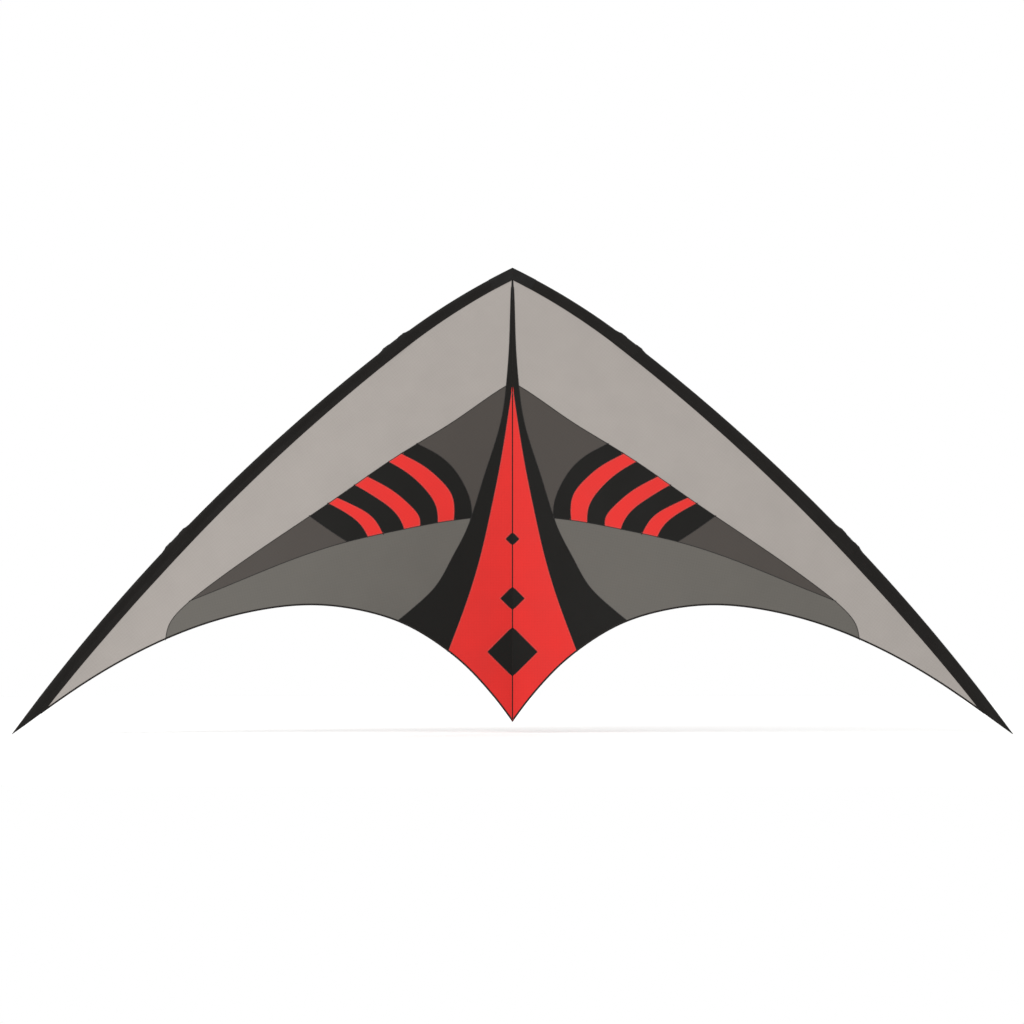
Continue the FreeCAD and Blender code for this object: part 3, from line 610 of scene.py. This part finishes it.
def running_stitches(path, length=3.0, gap=0.7, radius=0.28):
    """Straight stitches along a line of points, each one thread that dips in at both ends."""
    starts = spaced(path, length + gap)
    if len(starts) < 3:
        return None
    along = np.gradient(starts, axis=0)
    along /= np.linalg.norm(along, axis=1)[:, None]
    side = np.cross(along, (0, 1, 0))
    side /= np.linalg.norm(side, axis=1)[:, None]
    centre = starts + along * (length / 2)
    up = np.array((0, radius, 0))
    corners = [starts, centre + side * radius, centre + up, centre - side * radius, centre - up,
               starts + along * length]
    points = np.stack(corners, axis=1).reshape(-1, 3)
    first = np.arange(len(starts))[:, None] * 6
    faces = [first + np.array([0, 1 + (k + 1) % 4, 1 + k]) for k in range(4)]
    faces += [first + np.array([5, 1 + k, 1 + (k + 1) % 4]) for k in range(4)]
    return points, np.concatenate(faces)


def thread_piece(name, threads, material):
    """One object from many threads."""
    threads = [made for made in threads if made is not None]
    faces, start = [], 0
    for points, part_faces in threads:
        faces += (part_faces + start).tolist()
        start += len(points)
    return make_piece(name, np.concatenate([points for points, _ in threads]), faces, material, None, 80)


# ---------------- sail panels

def wing_mesh():
    """Triangles of the whole wing, with every seam as a line of edges: places and faces."""
    centre_line = straight((INNER_EDGE, 600), (INNER_EDGE, -500), CELL)
    lines = cloth_seams + stripe_edges + diamond_edges + [trailing, cloth_top, centre_line]
    seam_places = np.concatenate(lines)
    edges, start = [], 0
    for line in lines:
        edges += [(start + i, start + i + 1) for i in range(len(line) - 1)]
        start += len(line)
    tree = tree_of(seam_places)
    rows = np.arange(-360, 500, CELL * 0.87)
    inside = []
    for row, height in enumerate(rows):
        across = np.arange(INNER_EDGE + (row % 2) * CELL / 2, 915, CELL)
        inside.append(np.stack([across, np.full(len(across), height)], axis=1))
    inside = np.concatenate(inside)
    inside = inside[panel_at(inside) != OUTSIDE]
    clear = [tree.find((across, 0, height))[2] > CELL * 0.5 for across, height in inside]
    places = np.concatenate([seam_places, inside[clear]])
    made = delaunay_2d_cdt([Vector(place) for place in places], edges, [], 0, 1e-4)
    places = np.array([vertex.to_tuple() for vertex in made[0]])
    return places, np.array([face for face in made[2] if len(face) == 3])


def lap_strip(places, side, sign, layer):
    """The allowance of one panel that lies behind its neighbour, as triangles on the sail."""
    widths = np.array([0.0, 1.5, LAP])
    lifts = np.array([0.1, 0.22, 0.24]) + layer * 0.05
    rows = (places[:, None, :] + side[:, None, :] * widths[None, :, None]).reshape(-1, 2)
    rows[:, 0] = np.maximum(rows[:, 0], INNER_EDGE + 0.1)
    rows[:, 1] = np.maximum(rows[:, 1], z_on(trailing, rows[:, 0]) + 0.6)
    if layer >= STRIPES:
        lowest, highest = (z_on(seam, rows[:, 0]) for seam in (lower_seam, upper_seam))
        rows[:, 1] = np.clip(rows[:, 1], lowest + 0.4, highest - 0.4)
    points = on_sail(rows, sign, np.tile(lifts, len(places)))
    quads = grid_faces(len(places), 3)
    return rows, points, np.concatenate([quads[:, [0, 1, 2]], quads[:, [0, 2, 3]]])


def panel_laps(index, sign):
    """Laps of every seam that this panel owns."""
    laps = []
    for places, side, left, right in SEAM_RUNS:
        if min(left, right) == index:
            laps.append(lap_strip(places, side if right == index else -side, sign, index))
    return laps


def grain(places, name):
    """Cloth coordinates of places on a panel, turned to its own grain."""
    angle = math.radians(PANEL_FACTS[name][1])
    across, height = places[:, 0], places[:, 1]
    return np.stack([across * math.cos(angle) + height * math.sin(angle),
                     height * math.cos(angle) - across * math.sin(angle)], axis=1)


def make_panels(side_name, sign, places, faces):
    """Every panel of one wing, each with its laps."""
    owner = panel_at(places[faces].mean(axis=1))
    for index, (name, (slot, _, flat)) in enumerate(PANEL_FACTS.items()):
        chosen = faces[owner == index]
        used, local = np.unique(chosen, return_inverse=True)
        body = on_sail(places[used], sign)
        parts = [(body, local.reshape(-1, 3), grain(places[used], name))]
        parts += [(points, lap, grain(rows, name)) for rows, points, lap in panel_laps(index, sign)]
        points, triangles, uv = joined(parts)
        if sign < 0:
            triangles = triangles[:, ::-1]
        piece = sheet_piece(f"{side_name}_{name}_cloth", points, triangles, uv, CLOTH, SAIL_FINISH[slot])
        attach(piece, f"{side_name}_wing")
        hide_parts(f"{side_name}_{name}")


def make_seam_stitching(side_name, sign):
    """Dark zigzag over every seam on both faces, an unbroken dark line of painted shade along each seam's
    lapped edge on the front, and a pale row just inside each red piece.
    """
    red = (STRIPES, CENTRE_RED)
    dark, pale = [], []
    for places, _, left, right in SEAM_RUNS:
        places = places[places[:, 0] > CLEAR_OF_FOLD]
        if len(places) < 3:
            continue
        for behind in (-0.2, 0.42):
            dark.append(zigzag(places, sign, behind, 1.8, 1.0, 0.28))
        # Painted shade: an unbroken dark thread along the seam on the front stands in for the shadow of the
        # lap's edge.
        dark.append(thread_tube(on_sail(places, sign, -0.12), 0.5))
        if (left in red) != (right in red):
            shift = 1.9 if left in red else -1.9
            pale.append(zigzag(places, sign, -0.18, 0.8, 1.1, 0.2, shift))
    pieces = [thread_piece(f"{side_name}_seam_stitching_and_shade_line", dark, DARK_THREAD_AND_SHADE),
              thread_piece(f"{side_name}_red_stitching", pale, PALE_THREAD)]
    for piece in pieces:
        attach(piece, f"{side_name}_wing")
    return pieces


# ---------------- trailing-edge hem

HEM_SECTION = [(2.7, -0.26), (1.2, -0.3), (0.1, -0.3), (-0.35, 0.0), (0.1, 0.3), (2.5, 0.36), (4.5, 0.34)]


def hem_line():
    """The trailing edge from the tail to where the sleeve's strip crosses it."""
    under_sleeve = z_on(cloth_top, trailing[:, 0]) - 6
    across, height = trailing[:, 0], trailing[:, 1]
    line = trailing[(across > INNER_EDGE) & (across < CLOTH_END) & (height < under_sleeve)]
    tail = np.array([[INNER_EDGE, z_on(trailing, INNER_EDGE)]])
    return np.concatenate([tail, line])


def make_hem(side_name, sign):
    """Tape folded over the trailing edge, narrow on the front and wider behind."""
    line = hem_line()
    inward = across_curve(line)
    inset = np.array([u for u, _ in HEM_SECTION])
    lift = np.array([v for _, v in HEM_SECTION])
    places = (line[:, None, :] + inward[:, None, :] * inset[None, :, None]).reshape(-1, 2)
    places[:, 0] = np.maximum(places[:, 0], HEM_FROM_FOLD)
    points = on_sail(places, sign, np.tile(lift, len(line)))
    girth = np.cumsum(np.abs(lift) + np.abs(inset))
    uv = np.stack([np.repeat(run_along(line), len(inset)), np.tile(girth, len(line))], axis=1)
    faces = grid_faces(len(line), len(inset))
    piece = sheet_piece(f"{side_name}_hem_tape", points, faces, uv, 0.18, TAPE_FINISH)
    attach(piece, f"{side_name}_wing")
    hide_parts(f"{side_name}_trailing_edge_hem")
    rows = [running_stitches(on_sail((line + inward * inset_row)[2:], sign, behind))
            for inset_row, behind in ((1.7, -0.42), (3.2, 0.5))]
    stitches = thread_piece(f"{side_name}_hem_stitching", rows, DARK_THREAD_AND_SHADE)
    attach(stitches, f"{side_name}_wing")
    return [piece, stitches]


# ---------------- leading-edge sleeves

SECTION_SHARES = np.array([0, 0.13, 0.26, 0.36, 0.41, 0.5, 0.6, 0.7, 0.79, 0.88, 0.94, 0.985, 1.0])


def sleeve_radius(run):
    """Radius of the sleeve's fold, wider where it passes over a fitting."""
    nearest = min(abs(run - place) for place in FITTING_RUNS)
    return SLEEVE_RADIUS + (COVER_RADIUS - SLEEVE_RADIUS) * (1 - smoothstep((nearest - CUTOUT / 2) / 12))


def sleeve_limit(run):
    """How far in from the spar the sleeve reaches: its width, or less where the trailing edge cuts it."""
    place, inward, _ = inward_at(run)
    low, high = -sleeve_radius(run), np.interp(run, *SLEEVE_REACHES)
    for _ in range(30):
        reach = (low + high) / 2
        across, height = place + inward * reach
        if height > z_on(trailing, across):
            low = reach
        else:
            high = reach
    return low


def half_thickness(reach, run, limit):
    """Half the sleeve's thickness: round over the spar, then two plies that lie together."""
    radius, touch = sleeve_radius(run), 2.2
    rim = math.sqrt(radius ** 2 - touch ** 2)
    round_part = np.sqrt(np.maximum(radius ** 2 - reach ** 2, 0))
    straight_part = rim - touch / rim * (reach - touch)
    full = np.where(reach < touch, round_part, np.maximum(straight_part, PLY_OFFSET))
    full = np.minimum(full, PLY_OFFSET + np.maximum(limit - reach, 0) * 1.3)
    filled = smoothstep((run - SLEEVE_START + 2) / 14) * (1 - smoothstep((run - SPAR_END) / 30))
    flat = np.minimum(PLY_OFFSET, np.sqrt(np.maximum(reach + radius, 0)) * 0.4)
    return np.where(full > flat, flat + (full - flat) * filled, full)


def ply_points(run, sign, side, reaches, proud=0.0):
    """Points of the front ply (side -1) or the back one (side 1) at one run, at distances from the spar."""
    place, inward, spar_y = inward_at(run)
    spots = place + inward * reaches[:, None]
    spots[:, 0] = np.maximum(spots[:, 0], 0)
    x = sign * spots[:, 0]
    on_cloth = smoothstep((reaches - 2) / 8)
    centre = spar_y + (sail_y(x, spots[:, 1]) - spar_y) * on_cloth
    half = half_thickness(reaches, run, sleeve_limit(run)) + proud
    return np.stack([x, centre + side * half, spots[:, 1]], axis=1)


def sleeve_points(runs, sign, shares=SECTION_SHARES, proud=0.0):
    """Grid of points: for each run, the front ply from its inner edge out, then the back ply."""
    rows = []
    for run in runs:
        limit = sleeve_limit(run)
        reaches = limit - (sleeve_radius(run) + limit) * shares
        front, back = (ply_points(run, sign, side, reaches, proud) for side in (-1, 1))
        rows.append(np.concatenate([front, back[-2::-1]]))
    return np.array(rows)


def swept_sheet(rows):
    """Points, faces and cloth coordinates of a grid of points."""
    count, columns = rows.shape[:2]
    uv = np.stack([np.repeat(run_along(rows[:, 0]), columns), np.tile(run_along(rows[0]), count)], axis=1)
    return rows.reshape(-1, 3), grid_faces(count, columns), uv


def steps(start, end, step):
    return np.linspace(start, end, max(2, int((end - start) / step) + 1))


def opened_sleeve(centre_run, sign):
    """Both plies where the sleeve is opened behind a fitting: the back is cut away, and the front goes on
    round the spar, less far where the fitting's neck turns past it."""
    runs = steps(centre_run - CUTOUT / 2, centre_run + CUTOUT / 2, 3)
    past_neck = smoothstep((np.abs(runs - centre_run) - 7.5) / 3)
    lips = NECK_LIP + (OPENING_LIP - NECK_LIP) * past_neck
    grids = []
    for side, outer in ((-1, -lips), (1, np.full(len(runs), CUTOUT_REACH))):
        rows = [ply_points(run, sign, side, sleeve_limit(run) + (edge - sleeve_limit(run)) * SECTION_SHARES)
                for run, edge in zip(runs, outer)]
        grids.append(np.array(rows[::-side]))
    return grids


def tip_runs(start):
    """Runs from the last opening to the pointed tip, closer together near the point."""
    tip = start
    while sleeve_limit(tip) > 0.6 - SLEEVE_RADIUS:
        tip += 1.0
    return np.concatenate([steps(start, 1150, 7)[:-1], steps(1150, tip, 3.5)])


def make_sleeve(side_name, sign):
    """Heavy cloth folded round the leading edge and sewn to the sail, closed to a point at the tip."""
    openings = [(run - CUTOUT / 2, run + CUTOUT / 2) for run in FITTING_RUNS]
    tip = tip_runs(openings[-1][1])
    grids = [sleeve_points(steps(SLEEVE_START, openings[0][0], 7), sign),
             sleeve_points(steps(openings[0][1], openings[1][0], 7), sign), sleeve_points(tip, sign)]
    for run in FITTING_RUNS:
        grids += opened_sleeve(run, sign)
    points, faces, uv = joined([swept_sheet(grid) for grid in grids])
    piece = sheet_piece(f"{side_name}_sleeve_cloth", points, faces, uv, SLEEVE_PLY, SLEEVE_FINISH)

    behind = len(SECTION_SHARES) - 2
    spans = [(start - CUFF, start) for start, _ in openings] + [(end, end + CUFF) for _, end in openings]
    cuffs = [swept_sheet(sleeve_points(steps(*span, CUFF / 2), sign, proud=PROUD)[:, behind:])
             for span in spans]
    cuff = sheet_piece(f"{side_name}_sleeve_cuffs", *joined(cuffs), SLEEVE_PLY, TAPE_FINISH)

    rows = []
    for share in (0.08, 0.33):
        grid = sleeve_points(np.concatenate([steps(SLEEVE_START + 3, openings[-1][1], 7), tip[1:-6]]), sign,
                             np.array([0, share, 1.0]), 0.16)
        rows += [running_stitches(grid[:, 1]), running_stitches(grid[:, 3])]
    stitches = thread_piece(f"{side_name}_sleeve_stitching", rows, DARK_THREAD_AND_SHADE)
    for made in (piece, cuff, stitches):
        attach(made, f"{side_name}_wing")
    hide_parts(f"{side_name}_leading_edge_sleeve")


# ---------------- nose, tail and centre seam


def bend_at_centre(piece):
    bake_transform(piece)


def nose_patch_rows(sign):
    """Half of the patch folded over the nose: square to the edge at its end, mitred on the centre line."""
    end_run, inner_apex = 46.0, 470.5
    sleeve_reach = SLEEVE_REACHES[1][0]
    shares = SECTION_SHARES
    rows = []
    for part in np.linspace(0, 1, 13):
        run = part * end_run
        spot, inward, spar_y = inward_at(run)
        outer = spot - inward * (SLEEVE_RADIUS + 0.35)
        if part == 0:
            outer = np.array((0.0, outer[1] + 1.0))
        inner = spot + inward * (sleeve_reach + 0.5)
        mitre = np.array((0.0, inner_apex))
        weight = smoothstep(part * 1.4)
        inner = mitre * (1 - weight) + inner * weight
        spots = inner + (outer - inner) * shares[:, None]
        spots[:, 0] = np.maximum(spots[:, 0], 0)
        reach = sleeve_reach - (SLEEVE_RADIUS + sleeve_reach) * shares
        half = half_thickness(reach, run, sleeve_reach) + PROUD * (shares < 1)
        x = sign * spots[:, 0]
        mixed = np.maximum(smoothstep((reach - 2) / 8), 1 - smoothstep(run / 20))
        centre = spar_y + (taut_sail(np.abs(x), spots[:, 1]) - spar_y) * mixed
        front = np.stack([x, centre - half, spots[:, 1]], axis=1)
        back = np.stack([x, centre + half, spots[:, 1]], axis=1)
        rows.append(np.concatenate([front, back[-2::-1]]))
    return np.array(rows)


def make_nose_patch(side_name, sign):
    """Half of the nose patch, sewn along both its long edges on both faces and across its end in front."""
    rows = nose_patch_rows(sign)
    points, faces, uv = swept_sheet(rows)
    piece = sheet_piece(f"{side_name}_nose_patch", points, faces, uv, 0.36, WEBBING_FINISH)
    bend_at_centre(piece)
    edges = [running_stitches(rows[:, column] + (0, lift, 0), 2.4, 0.6)
             for column, lift in ((1, -0.22), (4, -0.22), (-2, 0.22), (-5, 0.22))]
    edges.append(running_stitches(rows[-2, 1:8] - (0, 0.22, 0), 2.4, 0.6))
    stitches = thread_piece(f"{side_name}_nose_stitching", edges, DARK_THREAD_AND_SHADE)
    bend_at_centre(stitches)


def pocket_section(half_width, rise):
    """Webbing laid over the spine's end: flat flange, side, top; from the centre line outwards."""
    around = np.radians([90, 65, 40, 15, -10])
    radius = CAP_RADIUS + 0.45
    over = [(radius * math.cos(angle), radius * math.sin(angle) * rise) for angle in around]
    foot = -(SPINE.y - SEAM.y) * rise + 1.2
    over += [(radius + 0.3, foot * 0.6), (radius + 1.2, foot), (max(half_width, radius + 1.4), foot)]
    return np.array(over)


def make_pocket(name, node, heights, half_widths, rises):
    """Webbing pocket over one end of the spine, in two halves."""
    for side_name, sign in SIDES.items():
        rows = []
        for height, half_width, rise in zip(heights, half_widths, rises):
            section = pocket_section(half_width, rise)
            depth = SPINE.y + section[:, 1] - (1 - rise) * (SPINE.y - SEAM.y - 1.2)
            rows.append(np.stack([sign * section[:, 0], depth, np.full(len(section), height)], axis=1))
        rows = np.array(rows)
        points, faces, uv = swept_sheet(rows)
        piece = sheet_piece(f"{side_name}_{name}", points, faces, uv, 0.5, WEBBING_FINISH)
        flange = running_stitches(rows[:, -1] + (-sign * 1.1, 0.34, 0), 2.4, 0.6)
        stitches = thread_piece(f"{side_name}_{name}_stitching", [flange], DARK_THREAD_AND_SHADE)
        for made in (piece, stitches):
            bend_at_centre(made)
        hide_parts(node)


def tail_width(height):
    """Half the sail's width near the tail, where its edge rises all the way."""
    return np.interp(height, trailing[:25, 1], trailing[:25, 0])


def make_spine_pockets():
    """Webbing over the spine's top end, and over its tail, where the sail narrows."""
    heights = [SPINE_TOP + above for above in (-34, -20, -6, 1, 6, 11)]
    make_pocket("nose_pocket", "nose_webbing", heights, [11, 11, 11, 11, 10, 9], [1, 1, 1, 0.95, 0.5, 0.12])
    heights = [TAIL_CAP + above for above in (30, 16, 4, -1, -4)]
    widths = [min(11, tail_width(height) - 1.5) for height in heights]
    make_pocket("tail_sleeve", "tail_pocket", heights, widths, [1, 1, 1, 0.8, 0.3])


def make_centre_tape(side_name, sign):
    """Half of the tape that closes the centre seam behind the sail."""
    heights = np.concatenate([np.arange(TAIL_TIP, TAIL_TIP + 10, 2.5), np.arange(TAIL_TIP + 10, 440, 6.0)])
    widths = np.array([0.05, 0.8, 1.6, 4, 8.5])
    rows = []
    for height in heights:
        room = tail_width(height) - 1 if height < -300 else 20
        across = np.minimum(widths, max(room, 1.3))
        spots = np.stack([across, np.full(len(across), height)], axis=1)
        rows.append(on_sail(spots, sign, 0.42))
    points, faces, uv = swept_sheet(np.array(rows))
    piece = sheet_piece(f"{side_name}_centre_tape", points, faces, uv, 0.2, TAPE_FINISH)
    bend_at_centre(piece)
    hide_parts("centre_seam_tape")
    edge = np.stack([np.full(len(heights), 7.0), heights], axis=1)[8:]
    row = zigzag(edge, sign, 0.6, 2.0, 1.4, 0.22)
    stitches = thread_piece(f"{side_name}_tape_stitching", [row], DARK_THREAD_AND_SHADE)
    bend_at_centre(stitches)
    return [piece, stitches]


def make_centre_bead(side_name, sign):
    """Half of the rolled seam that shows on the front as a fine dark line down the middle."""
    heights = np.arange(TAIL_TIP, 466, 4.0)
    path = on_sail(np.stack([np.full(len(heights), 0.85), heights], axis=1), sign, -0.03)
    bead = make_piece(f"{side_name}_centre_bead", *thread_tube(path, 0.3), TAPE_FINISH, None, 80)
    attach(bead, f"{side_name}_wing")
    return [bead]


# ---------------- patches behind the sail

def rounded_outline(centre, half_width, half_height, corner):
    """Outline of a rectangle with round corners, anticlockwise from the front."""
    outline = []
    for turn, (sx, sz) in enumerate(((1, -1), (1, 1), (-1, 1), (-1, -1))):
        middle_x = centre[0] + sx * (half_width - corner)
        middle_z = centre[1] + sz * (half_height - corner)
        for angle in np.linspace(0, math.pi / 2, 8) + (turn - 1) * math.pi / 2:
            outline.append((middle_x + corner * math.cos(angle), middle_z + corner * math.sin(angle)))
    return np.array(outline)


def patch_piece(name, outline, sign, behind, thickness, material):
    """Flat patch on the back of the sail, filled to its outline, with zigzag round its edge."""
    edges = [(i, (i + 1) % len(outline)) for i in range(len(outline))]
    low, high = outline.min(axis=0), outline.max(axis=0)
    columns, rows = (np.arange(low[k] + 2, high[k] - 1, 4) for k in (0, 1))
    grid = np.array([(column, row) for column in columns for row in rows])
    centre = outline.mean(axis=0)
    places = np.concatenate([outline, grid])
    made = delaunay_2d_cdt([Vector(place) for place in places], edges, [list(range(len(outline)))], 1, 1e-4)
    places = np.array([vertex.to_tuple() for vertex in made[0]])
    faces = np.array([face for face in made[2] if len(face) == 3])
    if sign < 0:
        faces = faces[:, ::-1]
    piece = sheet_piece(name, on_sail(places, sign, behind), faces, places, thickness, material)
    inset = centre + (outline - centre) * 0.9
    ring = zigzag(np.concatenate([inset, inset[:1]]), sign, behind + thickness / 2 + 0.12, 2.0, 1.2, 0.22)
    stitches = thread_piece(name + "_stitching", [ring], DARK_THREAD_AND_SHADE)
    return piece, stitches


def make_patches(side_name, sign):
    """Reinforcement under the standoff's saddle and beside the tee."""
    saddle = middle(f"{side_name}_sail_saddle")
    outline = rounded_outline((abs(saddle.x), saddle.z), 21, 15, 9)
    lowest = z_on(trailing, outline[:, 0]) + 5.2
    outline[:, 1] = np.maximum(outline[:, 1], lowest)
    under_saddle = patch_piece(f"{side_name}_standoff_patch", outline, sign, 0.5, 0.3, SLEEVE_FINISH)
    for piece in under_saddle:
        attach(piece, f"{side_name}_wing")
    outline = rounded_outline((20.5, 0), 20, 24, 6)
    beside_tee = patch_piece(f"{side_name}_tee_patch", outline, sign, 0.66, 0.2, SLEEVE_FINISH)
    for piece in beside_tee:
        bend_at_centre(piece)
    return [*under_saddle, *beside_tee]


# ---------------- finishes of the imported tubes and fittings

def finish_frame():
    along_x = carbon("carbon_across", (1, 0, 0))
    along_z = carbon("carbon_upright", (0, 0, 1))
    edges = {sign: carbon(f"carbon_edge_{side}", (sign * CHORD.x, CHORD.y, CHORD.z))
             for side, sign in SIDES.items()}
    rubber = moulded("moulded_rubber", linear(29, 29, 30), 0.62, 1500.0, 0.3)
    nylon = moulded("moulded_nylon", linear(26, 26, 28), 0.45, 2600.0, 0.4)
    finishes = {"moulded_rubber": rubber, "moulded_plastic": nylon}
    slots = {part["node"]: part["material_slot"] for part in frame["record"]["subparts"]}
    for name, node in frame["nodes"].items():
        slot = slots[name]
        if slot == "carbon_tube":
            sign = -1 if name.startswith("left") else 1
            chosen = along_x
            if "leading_edge" in name or "ferrule" in name:
                chosen = edges[sign]
            elif name == "spine_rod" or "standoff" in name:
                chosen = along_z
        elif slot in finishes:
            chosen = finishes[slot]
        else:
            continue
        node.data.materials.clear()
        node.data.materials.append(chosen)


# ---------------- floor, light and camera

def make_stage():
    """Pale round floor that the wing tips stand on, soft light and the camera in front."""
    floor_height = cad_box[0].z - 0.002
    ring = [(4 * math.cos(a), 4 * math.sin(a), floor_height) for a in np.linspace(0, 2 * math.pi, 96, False)]
    mesh = bpy.data.meshes.new("floor")
    mesh.from_pydata(ring, [], [list(range(96))])
    floor_finish = Finish("floor_paper", Specular_IOR_Level=0.1, Roughness=0.9)
    speckle = floor_finish.noise(floor_finish.node("TexCoord").outputs["Object"], 90.0, 4.0)
    floor_finish.tint((0.93, 0.93, 0.925), floor_finish.ramp(speckle, 0.3, 0.7, 0.99, 1.01))
    mesh.materials.append(floor_finish.material)
    placed("floor", mesh)

    world = bpy.data.worlds.new("studio")
    world.use_nodes = True
    world.node_tree.nodes["Background"].inputs["Color"].default_value = (1, 1, 1, 1)
    world.node_tree.nodes["Background"].inputs["Strength"].default_value = 1.0
    bpy.context.scene.world = world

    lamps = {"key": ((-3.2, -4.5, 3.6), 2.4, 150), "fill": ((4.0, 4.5, 2.5), 3.0, 90)}
    for name, (place, width, power) in lamps.items():
        lamp = bpy.data.lights.new(name, "AREA")
        lamp.size = width
        lamp.energy = power
        holder = placed(name, lamp)
        holder.location = place
        holder.rotation_euler = (-Vector(place)).to_track_quat("-Z", "Y").to_euler()

    camera = bpy.data.cameras.new("camera")
    camera.lens = 400
    camera.sensor_width = 36
    camera.clip_end = 200
    shown_width, centre_height = 1.856, 0.0489
    holder = placed("camera", camera)
    distance = shown_width * camera.lens / camera.sensor_width
    holder.location = (-0.0009, SEAM.y * MM - 0.05 - distance, centre_height)
    holder.rotation_euler = (math.pi / 2, 0, 0)
    bpy.context.scene.camera = holder
    bpy.context.scene.view_settings.view_transform = "Standard"


# ---------------- build

finish_frame()
wing_places, wing_faces = wing_mesh()
for side_name, sign in SIDES.items():
    sewn_on = make_seam_stitching(side_name, sign)
    sewn_on += make_hem(side_name, sign)
    sewn_on += make_centre_tape(side_name, sign)
    sewn_on += make_centre_bead(side_name, sign)
    sewn_on += make_patches(side_name, sign)
    make_panels(side_name, sign, wing_places, wing_faces)
    make_sleeve(side_name, sign)
    make_nose_patch(side_name, sign)
make_spine_pockets()
make_stage()
